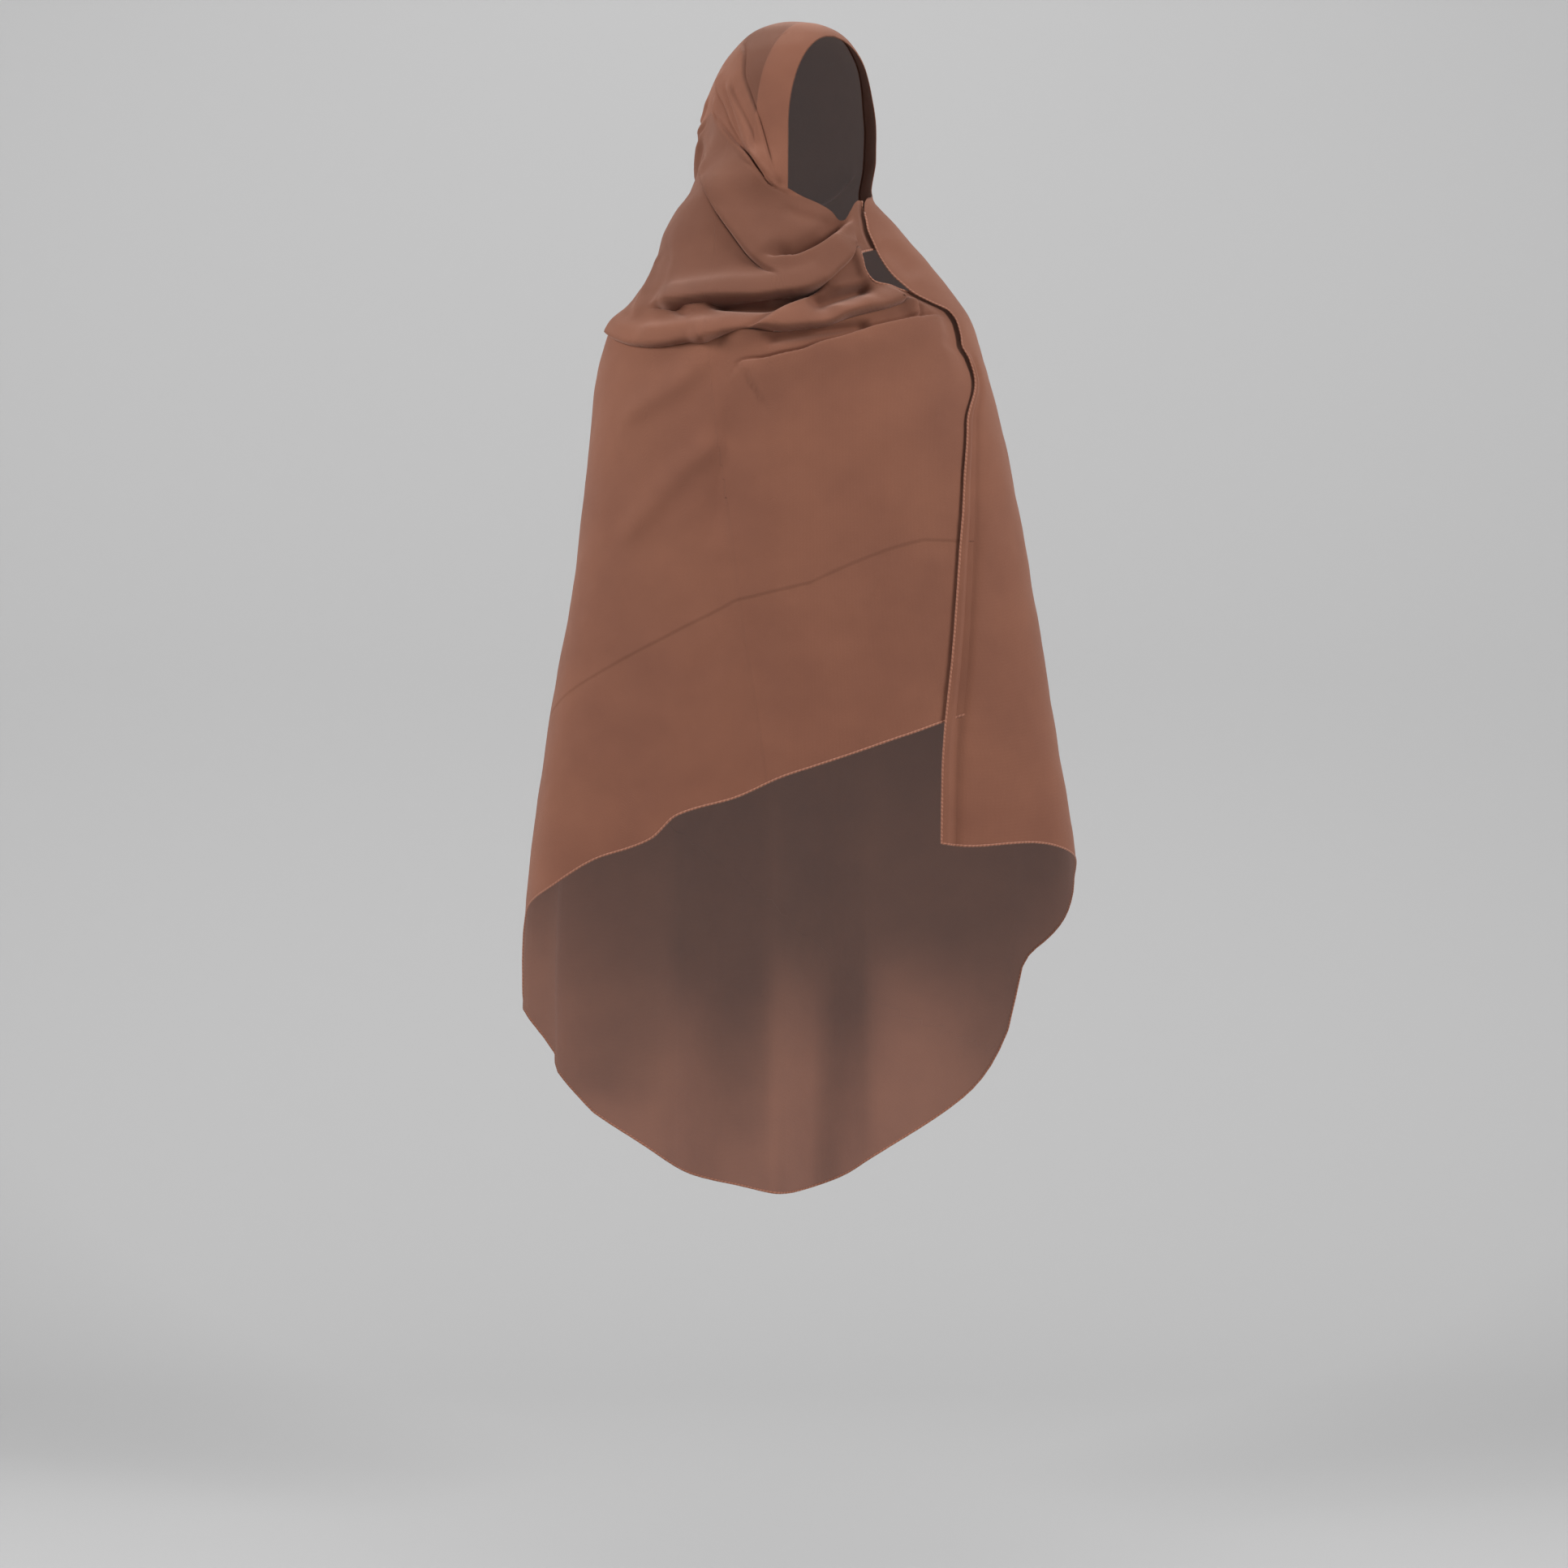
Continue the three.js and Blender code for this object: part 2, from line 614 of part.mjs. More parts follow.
function hemGeometry() {
  const edgePoints = edgePath.map((vertex) => (
    vertices[vertex].clone().addScaledVector(normals[vertex], -clothWall / 2)
  ));
  const positions = [];
  edgePath.forEach((vertex, k) => {
    const here = edgePoints[k];
    const before = here.clone().sub(edgePoints[Math.max(0, k - 1)]).normalize();
    const after = edgePoints[Math.min(edgePoints.length - 1, k + 1)].clone().sub(here).normalize();
    const along = before.clone().add(after).normalize();
    const outward = along.clone().cross(normals[vertex]).normalize();
    const bend = Math.max(0.5, along.dot(k === 0 ? after : before));
    const centre = here.clone().addScaledVector(outward, (hemBead / Math.SQRT2 + hemGap) / bend);
    for (let side = 0; side < hemSides; side += 1) {
      const turn = (side + 0.5) * 2 * Math.PI / hemSides;
      positions.push(...centre.clone()
        .addScaledVector(outward, hemBead / Math.SQRT2 * Math.cos(turn) / bend)
        .addScaledVector(normals[vertex], hemBead / Math.SQRT2 * Math.sin(turn)).toArray());
    }
  });
  const index = [];
  for (let k = 0; k + 1 < edgePath.length; k += 1) {
    for (let side = 0; side < hemSides; side += 1) {
      const a = k * hemSides + side;
      const b = k * hemSides + (side + 1) % hemSides;
      index.push(a, a + hemSides, b, b, a + hemSides, b + hemSides);
    }
  }
  const last = (edgePath.length - 1) * hemSides;
  for (let side = 1; side + 1 < hemSides; side += 1) {
    index.push(0, side, side + 1, last, last + side + 1, last + side);
  }
  const geometry = new THREE.BufferGeometry();
  geometry.setAttribute('position', new THREE.Float32BufferAttribute(positions, 3));
  geometry.setIndex(index);
  geometry.computeVertexNormals();
  return geometry;
}
const rolledHem = new THREE.Mesh(hemGeometry(), hemRoll);
rolledHem.name = 'rolled_hem';

// A plain ball-headed pin, out of sight between the hanging end and the panel that it holds
const pinRow = shoulderRow + 8;
const pinInset = 3;
const pinSides = 10;
const headSteps = 6;
function betweenLayers(aheadOfEdge) {
  const first = grid[pinRow][0];
  const next = grid[pinRow][1];
  const share = aheadOfEdge / vertices[first].distanceTo(vertices[next]);
  const over = vertices[first].clone().lerp(vertices[next], share);
  return over.addScaledVector(normals[first], -(clothWall + pinGap + pinHead / 2));
}
const pinFoot = betweenLayers(pinInset);
const pinAim = betweenLayers(pinInset + pinLength).sub(pinFoot).normalize();
const pinProfile = [new THREE.Vector2(0, -pinHead / 2)];
const neckTurn = Math.acos(pinDiameter / pinHead);
for (let i = 1; i <= headSteps; i += 1) {
  const turn = -Math.PI / 2 + (neckTurn + Math.PI / 2) * i / headSteps;
  pinProfile.push(new THREE.Vector2(pinHead / 2 * Math.cos(turn), pinHead / 2 * Math.sin(turn)));
}
pinProfile.push(new THREE.Vector2(pinDiameter / 2, pinLength - pinHead), new THREE.Vector2(0, pinLength));
const pin = new THREE.Mesh(new THREE.LatheGeometry(pinProfile, pinSides), pinSteel);
pin.quaternion.setFromUnitVectors(new THREE.Vector3(0, 1, 0), pinAim);
pin.position.copy(pinFoot);
pin.name = 'wrap_pin';

const part = new THREE.Group();
part.add(scarf, band, rolledHem, pin);

export default part;
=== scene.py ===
import math

import bmesh
import bpy
import numpy as np
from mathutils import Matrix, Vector, noise


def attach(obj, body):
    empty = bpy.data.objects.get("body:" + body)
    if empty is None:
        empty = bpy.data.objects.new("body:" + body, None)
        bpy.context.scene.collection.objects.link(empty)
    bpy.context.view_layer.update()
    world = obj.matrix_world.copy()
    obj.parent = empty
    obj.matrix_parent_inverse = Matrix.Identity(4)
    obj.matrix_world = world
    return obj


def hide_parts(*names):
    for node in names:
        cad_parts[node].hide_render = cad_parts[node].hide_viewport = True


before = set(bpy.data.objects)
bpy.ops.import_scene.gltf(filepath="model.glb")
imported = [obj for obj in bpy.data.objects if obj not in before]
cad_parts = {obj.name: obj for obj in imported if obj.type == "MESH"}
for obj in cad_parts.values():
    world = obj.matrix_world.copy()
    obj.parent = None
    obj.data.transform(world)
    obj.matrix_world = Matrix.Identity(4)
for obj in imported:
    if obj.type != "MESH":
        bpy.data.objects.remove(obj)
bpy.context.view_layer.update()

# Studio: a pale matt paper sweep that is floor and backdrop in one, with a camera three metres in
# front of the scarf, level with the lower part of its front panel, as the photograph was taken.
MM = 0.001


def paint(hex_code):
    """Linear colour with full alpha from an sRGB hex code."""
    channels = [int(hex_code[i : i + 2], 16) / 255 for i in (1, 3, 5)]
    linear = [c / 12.92 if c <= 0.04045 else ((c + 0.055) / 1.055) ** 2.4 for c in channels]
    return (*linear, 1.0)


def add_node(material, kind, settings=None, inputs=None):
    """A node of this kind; inputs takes a value, or another node's output to link."""
    node = material.node_tree.nodes.new(kind)
    for name, value in (settings or {}).items():
        setattr(node, name, value)
    for name, value in (inputs or {}).items():
        if isinstance(value, bpy.types.NodeSocket):
            material.node_tree.links.new(value, node.inputs[name])
        else:
            node.inputs[name].default_value = value
    return node


def new_material(name):
    """An empty node material with its output, and a principled shader linked to it."""
    material = bpy.data.materials.new(name)
    material.use_nodes = True
    material.node_tree.nodes.clear()
    shader = add_node(material, "ShaderNodeBsdfPrincipled")
    add_node(material, "ShaderNodeOutputMaterial", inputs={"Surface": shader.outputs["BSDF"]})
    return material, shader


camera_distance = 3.0
camera_height = -0.888
camera_side = -0.0086
picture_width = 1932 * 0.95 * MM
camera_data = bpy.data.cameras.new("studio_camera")
camera_data.sensor_width = 36
camera_data.lens = camera_data.sensor_width * camera_distance / picture_width
camera_data.clip_end = 60
camera = bpy.data.objects.new("studio_camera", camera_data)
camera.location = (camera_side, -camera_distance, camera_height)
camera.rotation_euler = (math.radians(90), 0, 0)
bpy.context.scene.collection.objects.link(camera)
bpy.context.scene.camera = camera

floor_height = -1.86
sweep_front = -6.0
sweep_bend = 1.1
sweep_radius = 1.2
sweep_half_width = 7.0
sweep_top = 5.0
sweep = bmesh.new()
profile = [sweep.verts.new((-sweep_half_width, sweep_front, floor_height))]
for step in range(13):
    turn = math.radians(90) * step / 12
    y = sweep_bend + sweep_radius * math.sin(turn)
    z = floor_height + sweep_radius * (1 - math.cos(turn))
    profile.append(sweep.verts.new((-sweep_half_width, y, z)))
profile.append(sweep.verts.new((-sweep_half_width, sweep_bend + sweep_radius, sweep_top)))
line = [sweep.edges.new(pair) for pair in zip(profile, profile[1:])]
spread = bmesh.ops.extrude_edge_only(sweep, edges=line)["geom"]
bmesh.ops.translate(
    sweep,
    verts=[v for v in spread if isinstance(v, bmesh.types.BMVert)],
    vec=(2 * sweep_half_width, 0, 0),
)
for face in sweep.faces:
    face.smooth = True
sweep_mesh = bpy.data.meshes.new("paper_sweep")
sweep.to_mesh(sweep_mesh)
sweep.free()
paper_sweep = bpy.data.objects.new("paper_sweep", sweep_mesh)
bpy.context.scene.collection.objects.link(paper_sweep)
matt_paper, paper_shader = new_material("matt_paper")
paper_shader.inputs["Base Color"].default_value = paint("#B6B6B6")
paper_shader.inputs["Roughness"].default_value = 0.95
sweep_mesh.materials.append(matt_paper)

for name, place, width, power in (
    ("key_softbox", (3.2, -1.98, 0.85), 1.5, 140),
    ("fill_softbox", (-3.2, -1.73, 0.85), 1.5, 138),
    ("top_softbox", (0.0, -0.5, 2.4), 1.6, 20),
    ("back_softbox", (0.0, 1.6, 2.4), 1.6, 18),
):
    light_data = bpy.data.lights.new(name, "AREA")
    light_data.size = width
    light_data.energy = power
    light = bpy.data.objects.new(name, light_data)
    light.location = place
    aim = Vector((0, 0, -0.6)) - Vector(place)
    light.rotation_euler = aim.to_track_quat("-Z", "Y").to_euler()
    bpy.context.scene.collection.objects.link(light)
studio_air = bpy.data.worlds.new("studio_air")
studio_air.use_nodes = True
studio_air.node_tree.nodes["Background"].inputs["Color"].default_value = paint("#D8D8DA")
studio_air.node_tree.nodes["Background"].inputs["Strength"].default_value = 0.33
bpy.context.scene.world = studio_air
bpy.context.scene.view_settings.view_transform = "Standard"

# Scarf cloth: one large rectangle of crepe chiffon in its worn form. It makes a hood, crosses under
# the face opening and is pinned; one end hangs down the side, the other makes the front panel.
# Sizes are millimetres. Angles run from the front round by +X. Levels are 0 at the crown, 1 at the
# foot of the hood, 2 at the foot of the yoke and 3 at the lowest that the hem may reach.
hood_height, hood_width, hood_depth = 250, 200, 220
yoke_height, shoulder_span, chest_depth = 170, 445, 290
skirt_length, hem_span, hem_depth = 975, 660, 300
head_turn, face_top, face_widest, face_half_width, face_forward = 40, 30, 146, 67, 75
far_cheek_turn = 0.14  # how much further round the hood lies on the far side of the opening
opening_foot = 0.86  # level at which the face opening ends and the wrap begins
# How deep the panel lies under the hanging end, and how wide the step down to it is
layer_gap, panel_tuck, throat_tuck = 5, 10, 5
drops = np.cumsum([0, hood_height, yoke_height, skirt_length])
face_top_level = face_top / hood_height
face_widest_level = face_widest / hood_height
widest_half_angle = math.degrees(math.atan2(face_half_width, face_forward))

# level, turn, front, back, left, right, square
sections = np.array([
    (0, 40, 0, 0, 0, 0, 2),
    (0.008, 40, 0.09, 0.09, 0.1, 0.1, 2),
    (0.024, 40, 0.165, 0.155, 0.165, 0.17, 2),
    (0.06, 40, 0.265, 0.25, 0.25, 0.27, 2),
    (0.112, 40, 0.34, 0.325, 0.31, 0.33, 2),
    (0.204, 40, 0.4, 0.41, 0.39, 0.4, 2.05),
    (0.336, 40, 0.435, 0.48, 0.45, 0.44, 2.1),
    (0.488, 40, 0.46, 0.525, 0.468, 0.46, 2.15),
    (0.64, 39, 0.468, 0.54, 0.482, 0.455, 2.2),
    (0.776, 31, 0.464, 0.555, 0.568, 0.435, 2.2),
    (0.83, 24, 0.467, 0.558, 0.62, 0.45, 2.2),
    (0.888, 16, 0.474, 0.564, 0.678, 0.525, 2.2),
    (0.95, 11, 0.49, 0.567, 0.72, 0.61, 2.2),
    (1, 8, 0.51, 0.57, 0.75, 0.665, 2.2),
    (1.2, 3, 0.42, 0.434, 0.36, 0.364, 2.2),
    (1.44, 0, 0.455, 0.441, 0.418, 0.436, 2.2),
    (1.59, 0, 0.476, 0.448, 0.467, 0.472, 2.25),
    (1.7, 0, 0.49, 0.452, 0.485, 0.487, 2.3),
    (1.925, 0, 0.507, 0.459, 0.508, 0.512, 2.4),
    (2.084, 0, 0.507, 0.453, 0.358, 0.38, 2.6),
    (2.22, 0, 0.5, 0.467, 0.38, 0.418, 2.6),
    (2.415, 0, 0.487, 0.49, 0.429, 0.463, 2.6),
    (2.58, 0, 0.477, 0.503, 0.462, 0.499, 2.6),
    (2.738, 0, 0.47, 0.51, 0.477, 0.515, 2.6),
    (3, 0, 0.467, 0.513, 0.48, 0.519, 2.6),
])
# Front edge of the hanging end: level, angle
hanging_edge = np.array([
    (0.68, 88), (0.76, 87), (0.81, 81), (0.84, 69), (0.865, 56), (0.9, 50), (0.96, 46),
    (1.08, 43.5), (1.21, 44), (1.337, 46), (1.43, 50), (1.49, 53.5), (1.54, 60), (1.58, 66),
    (1.65, 67.9), (1.75, 67.5), (1.82, 66.5), (1.9, 68), (2, 68), (2.06, 61), (2.18, 57),
    (2.33, 54), (2.47, 51.5), (3, 51),
])
# Edge of the wrap and front panel: along the foot of the face opening as angle and level, then
# down the hollow at the throat and under the hanging end as grid row, angle and level
cheek_edge = 357.5
chin_edge = np.array([
    (357.5, 0.86), (361.3, 0.877), (367, 0.897), (375.4, 0.921), (384, 0.955), (390, 0.985),
    (392, 0.985), (397, 0.945), (401, 0.91), (405, 0.89), (410, 0.885),
])
panel_edge = np.array([
    (0.86, 410, 0.885), (0.89, 409, 0.95), (0.92, 408, 1.02), (0.95, 407.5, 1.1), (0.98, 407, 1.17),
    (1, 404, 1.19), (1.02, 399, 1.2), (1.04, 395.5, 1.22), (1.08, 394, 1.26), (1.14, 394, 1.32),
    (1.21, 395, 1.385), (1.27, 398, 1.425), (1.33, 404, 1.449), (1.39, 413, 1.474),
    (1.46, 425, 1.51), (1.53, 435, 1.565), (1.61, 440, 1.65), (1.71, 440, 1.76), (1.88, 438, 1.9),
    (2, 436, 2), (2.06, 430, 2.06), (2.18, 425, 2.18), (2.33, 420, 2.33), (2.47, 418, 2.47),
    (3, 418, 3),
])
# Hem height from the foot of the hanging end round the back to the front panel: angle, level
hem_line = np.array([
    (48, 2.546), (58, 2.552), (69, 2.548), (80, 2.562), (90, 2.59), (99, 2.64), (105, 2.672),
    (111, 2.708), (115, 2.79), (124, 2.87), (145, 2.95), (180, 2.995), (206, 2.985), (227, 2.955),
    (242, 2.893), (246, 2.864), (250, 2.841), (255, 2.818), (258, 2.803), (261, 2.774),
    (264, 2.757), (269, 2.735), (273, 2.67), (278, 2.63), (288, 2.6), (298, 2.566), (311, 2.543),
    (318, 2.516), (336, 2.496), (355, 2.473), (372, 2.458), (389, 2.441), (406, 2.419),
    (420, 2.396),
])
# Folds in millimetres. A fold runs along its path of (angle, level) points. Height is how far its
# crest stands out, above and below how far it spreads to each side; groove is the depth of the
# crease at its foot, side 1 below or -1 above, and lean how far the crest hangs over that side.
folds = [
    dict(name="hood layer", height=3.2, above=1.8, below=20, groove=2, side=-1, lean=1.4, path=[
        (292, 0.09), (315, 0.21), (322, 0.33), (328, 0.41), (336, 0.53), (343, 0.68), (347, 0.76),
        (351, 0.83),
    ]),
    dict(name="hood pleat 1", height=4.2, above=8, below=2.4, groove=2.4, side=1, lean=2.6, path=[
        (283, 0.24), (290, 0.3), (307, 0.42), (317, 0.52), (326, 0.6), (336, 0.7), (350, 0.83),
        (360, 0.88),
    ]),
    dict(name="hood pleat 2", height=3, above=5, below=2.2, groove=1.8, side=1, lean=1.8, path=[
        (303, 0.31), (311, 0.38), (321, 0.49), (331, 0.62), (342, 0.755), (352, 0.85),
    ]),
    dict(name="hood pleat 3", height=2.6, above=2.4, below=6, groove=1.6, side=-1, lean=1.4, path=[
        (308, 0.33), (314, 0.4), (324, 0.5), (332, 0.6), (336, 0.69), (344, 0.77), (353, 0.85),
    ]),
    dict(name="hood pleat 4", height=3.4, above=7, below=2.4, groove=2, side=1, lean=2, path=[
        (285, 0.36), (296, 0.46), (309, 0.55), (324, 0.645), (338, 0.755), (354, 0.865),
    ]),
    dict(name="cheek hollow", height=-6, above=7, below=2.2, groove=0, side=1, lean=0, path=[
        (336, 0.735), (343, 0.785), (350, 0.83), (359, 0.87),
    ]),
    dict(name="wrap top", height=7.5, above=2.4, below=30, groove=4, side=-1, lean=3, path=[
        (284, 0.42), (291, 0.46), (303, 0.53), (319, 0.63), (333, 0.72), (343, 0.8), (352, 0.85),
        (361, 0.885),
    ]),
    dict(name="wrap foot", height=10, above=26, below=2.4, groove=6, side=1, lean=6, path=[
        (277, 0.6), (286, 0.655), (299, 0.745), (314, 0.845), (321.5, 0.94), (331, 1.075),
        (340.5, 1.235), (348, 1.335), (353, 1.385), (357, 1.44),
    ]),
    dict(name="chin hollow", height=-2.5, above=5, below=10, groove=0, side=1, lean=0, path=[
        (352, 0.93), (364, 0.98), (376, 1.0), (388, 1.03),
    ]),
    dict(name="throat shadow", height=-14, above=14, below=3, groove=0, side=1, lean=0, path=[
        (344, 1.24), (352, 1.27), (360, 1.275), (368, 1.24), (377, 1.18), (387, 1.075),
        (392, 1.015), (398, 0.96),
    ]),
    dict(name="second wrap top", height=9, above=2.6, below=14, groove=0, side=-1, lean=3, path=[
        (346, 1.27), (353, 1.295), (360, 1.3), (368, 1.265), (377, 1.205), (387, 1.1), (392, 1.035),
        (399, 0.99),
    ]),
    dict(name="second wrap foot", height=16, above=18, below=2.8, groove=9, side=1, lean=11, path=[
        (298, 1.545), (305, 1.53), (313, 1.52), (329, 1.5), (342, 1.5), (354, 1.48), (365, 1.46),
        (374, 1.41), (379, 1.345), (385, 1.27), (391, 1.18), (394, 1.09),
    ]),
    dict(name="deep hollow", height=-24, above=5, below=9, groove=0, side=1, lean=0, path=[
        (322, 1.55), (329, 1.565), (338, 1.58), (347, 1.585), (354, 1.565), (361, 1.54),
        (369, 1.505), (376, 1.425),
    ]),
    dict(name="third wrap top", height=9, above=3, below=15, groove=3.5, side=-1, lean=4, path=[
        (328, 1.8), (335, 1.79), (343, 1.76), (353, 1.695), (359, 1.645), (367, 1.59), (375, 1.51),
        (384, 1.37), (392, 1.22), (394, 1.13),
    ]),
    dict(name="curl", height=6, above=5, below=6, groove=0, side=-1, lean=0, path=[
        (392.5, 1.12), (392.5, 1.22), (393, 1.33), (394.5, 1.4), (399, 1.435),
    ]),
    dict(name="curl cavity", height=-15, above=5, below=9, groove=0, side=1, lean=0, path=[
        (366, 1.615), (373, 1.595), (380, 1.55), (386, 1.51), (392, 1.475), (398, 1.455),
    ]),
    dict(name="ridge over cavity", height=3, above=5, below=2.4, groove=0, side=1, lean=1.5, path=[
        (377, 1.515), (384, 1.475), (390, 1.45), (397, 1.415),
    ]),
    dict(name="cavity lip", height=4, above=3, below=9, groove=0, side=-1, lean=1.5, path=[
        (374, 1.62), (380, 1.625), (386, 1.61), (392, 1.57), (398, 1.53),
    ]),
    dict(name="shoulder fold", height=11, above=17, below=2.4, groove=8, side=1, lean=9, path=[
        (277, 1.65), (284, 1.665), (292, 1.73), (301, 1.79), (309, 1.81), (317, 1.795),
        (325, 1.775), (331, 1.755),
    ]),
    dict(name="shoulder roll", height=4, above=10, below=7, groove=0, side=1, lean=0, path=[
        (300, 1.74), (308, 1.755), (318, 1.75), (330, 1.715), (338, 1.68),
    ]),
    dict(name="lower roll", height=13, above=10, below=2.8, groove=8, side=1, lean=9, path=[
        (318, 1.78), (327, 1.765), (339, 1.74), (352, 1.735), (365, 1.71), (374, 1.69), (383, 1.64),
        (391, 1.6), (399, 1.56), (406, 1.51), (411, 1.45),
    ]),
    dict(name="roll foot", height=-9, above=5, below=8, groove=0, side=1, lean=0, path=[
        (346, 1.84), (354, 1.82), (365, 1.79), (376, 1.765), (386, 1.745), (394, 1.715),
    ]),
    dict(name="panel top", height=7.5, above=2.4, below=34, groove=4, side=-1, lean=2.6, path=[
        (332, 2.03), (340, 2), (348, 1.99), (356, 1.96), (365, 1.93), (373, 1.88), (382, 1.84),
        (390, 1.79), (398, 1.75), (410, 1.69), (416, 1.66), (428, 1.61),
    ]),
    dict(name="upright tuck", height=7, above=3.4, below=9, groove=4, side=-1, lean=1.6, path=[
        (412, 1.5), (411.5, 1.56), (411, 1.62), (410, 1.69),
    ]),
    dict(name="shoulder dent", height=-6, above=6, below=5, groove=0, side=1, lean=0, path=[
        (302, 1.53), (307, 1.56), (312, 1.61), (318, 1.68),
    ]),
    dict(name="shoulder dent top", height=3, above=8, below=3, groove=0, side=1, lean=1.5, path=[
        (303, 1.52), (309, 1.545), (316, 1.58), (323, 1.64),
    ]),
    dict(name="yoke strain", height=3, above=16, below=10, groove=0, side=1, lean=0, path=[
        (291, 0.98), (300, 1.18), (304, 1.38), (306, 1.56),
    ]),
    dict(name="yoke pleat", height=3, above=9, below=5, groove=0, side=1, lean=0, path=[
        (281, 1.12), (286, 1.3), (290, 1.46), (298, 1.66),
    ]),
    dict(name="neck side hollow", height=-5, above=22, below=22, groove=0, side=1, lean=0, path=[
        (52, 1.1), (56, 1.25), (60, 1.38),
    ]),
    dict(name="nape fold left", height=7, above=18, below=14, groove=0, side=1, lean=0, path=[
        (222, 0.9), (226, 1.15), (238, 1.5), (246, 1.95), (250, 2.3),
    ]),
    dict(name="nape fold middle", height=6, above=17, below=17, groove=0, side=1, lean=0, path=[
        (190, 0.85), (188, 1.2), (184, 1.6), (180, 2.1),
    ]),
    dict(name="nape fold right", height=7, above=14, below=18, groove=0, side=1, lean=0, path=[
        (150, 0.9), (146, 1.2), (134, 1.55), (126, 1.95), (124, 2.3),
    ]),
    dict(name="back swag", height=9, above=24, below=8, groove=2, side=1, lean=3, path=[
        (120, 1.62), (150, 1.8), (185, 1.86), (222, 1.78), (250, 1.6),
    ]),
    dict(name="back swag top", height=6, above=18, below=7, groove=1.5, side=1, lean=2, path=[
        (108, 1.28), (145, 1.45), (185, 1.5), (225, 1.42), (258, 1.2),
    ]),
    dict(name="back slant", height=5, above=22, below=12, groove=0, side=1, lean=0, path=[
        (128, 1.9), (150, 2.02), (176, 2.1), (204, 2.13), (232, 2.09),
    ]),
    dict(name="hood back swag", height=6, above=14, below=6, groove=2, side=1, lean=1, path=[
        (120, 0.62), (160, 0.74), (205, 0.78), (245, 0.7), (278, 0.5),
    ]),
    dict(name="back pleat 1", height=2.5, above=9, below=4, groove=1.5, side=1, lean=1.5, path=[
        (202, 0.5), (235, 0.47), (258, 0.41), (276, 0.33),
    ]),
    dict(name="back pleat 2", height=2.5, above=9, below=4, groove=1.5, side=1, lean=1.5, path=[
        (196, 0.63), (236, 0.59), (260, 0.52), (278, 0.44),
    ]),
    dict(name="hood side strain", height=2.5, above=9, below=6, groove=0, side=1, lean=0, path=[
        (236, 0.3), (262, 0.46), (287, 0.6), (306, 0.78),
    ]),
    dict(name="side drape 1", height=5.5, above=12, below=18, groove=0, side=1, lean=0, path=[
        (331, 1.88), (328, 1.93), (324, 2), (314, 2.03), (304, 2.05), (296, 2.065),
    ]),
    dict(name="side drape 2", height=5, above=12, below=18, groove=0, side=1, lean=0, path=[
        (332, 2.07), (327, 2.1), (320, 2.12), (315, 2.14), (308, 2.17), (300, 2.21),
    ]),
    dict(name="side hollow", height=-5, above=30, below=12, groove=0, side=1, lean=0, path=[
        (334, 2.03), (335, 2.08), (332, 2.14), (330, 2.22),
    ]),
]
# Sharp marks left by the packing: paths of (angle, level) points
crease_across = [
    (270, 2.42), (293, 2.36), (303, 2.335), (320, 2.3), (337, 2.27), (352, 2.26), (368, 2.25),
    (383, 2.23), (398, 2.21), (407, 2.2), (418, 2.2),
]
crease_down = [
    (334, 2.16), (337, 2.23), (340, 2.31), (345, 2.4), (350, 2.5),
]
# Upright flutes: angle, width and depth as shares of the hem span, top level
flutes = np.array([
    (76, 0.06, 0.02, 2), (96, 0.03, 0.002, 2.2), (108, 0.022, -0.012, 2.1), (124, 0.07, 0.026, 1.6),
    (143, 0.07, -0.026, 1.7), (166, 0.085, 0.036, 1.5), (189, 0.08, -0.03, 1.6),
    (212, 0.085, 0.036, 1.5), (231, 0.06, -0.024, 1.7), (245, 0.05, 0.022, 1.6),
    (257, 0.025, -0.03, 2), (264, 0.012, 0.01, 2.3), (288, 0.05, 0.01, 2), (303, 0.02, -0.005, 2),
    (316, 0.07, 0.016, 2), (342, 0.06, -0.012, 2), (380, 0.08, 0.01, 2), (407, 0.03, 0.006, 2),
])


def smooth_curve(xs, ys):
    """Smooth curve through the points that never overshoots them."""
    xs, ys = np.array(xs, float), np.array(ys, float)
    steps = np.diff(xs)
    slopes = np.diff(ys) / steps
    tangents = np.zeros(len(xs))
    tangents[0], tangents[-1] = slopes[0], slopes[-1]
    before, after = 2 * steps[1:] + steps[:-1], steps[1:] + 2 * steps[:-1]
    same = slopes[:-1] * slopes[1:] > 0
    tangents[1:-1][same] = (before + after)[same] / (
        before[same] / slopes[:-1][same] + after[same] / slopes[1:][same]
    )

    def curve(x):
        x = np.asarray(x, float)
        i = np.clip(np.searchsorted(xs, x, side="right") - 1, 0, len(steps) - 1)
        t = np.clip((x - xs[i]) / steps[i], 0, 1)
        t2, t3 = t * t, t * t * t
        return (
            (2 * t3 - 3 * t2 + 1) * ys[i]
            + (t3 - 2 * t2 + t) * steps[i] * tangents[i]
            + (3 * t2 - 2 * t3) * ys[i + 1]
            + (t3 - t2) * steps[i] * tangents[i + 1]
        )

    return curve


def smooth_step(x, low, high):
    t = np.clip((x - low) / (high - low), 0, 1)
    return t * t * (3 - 2 * t)


def drop_at(level):
    return np.interp(level, [0, 1, 2, 3], drops)


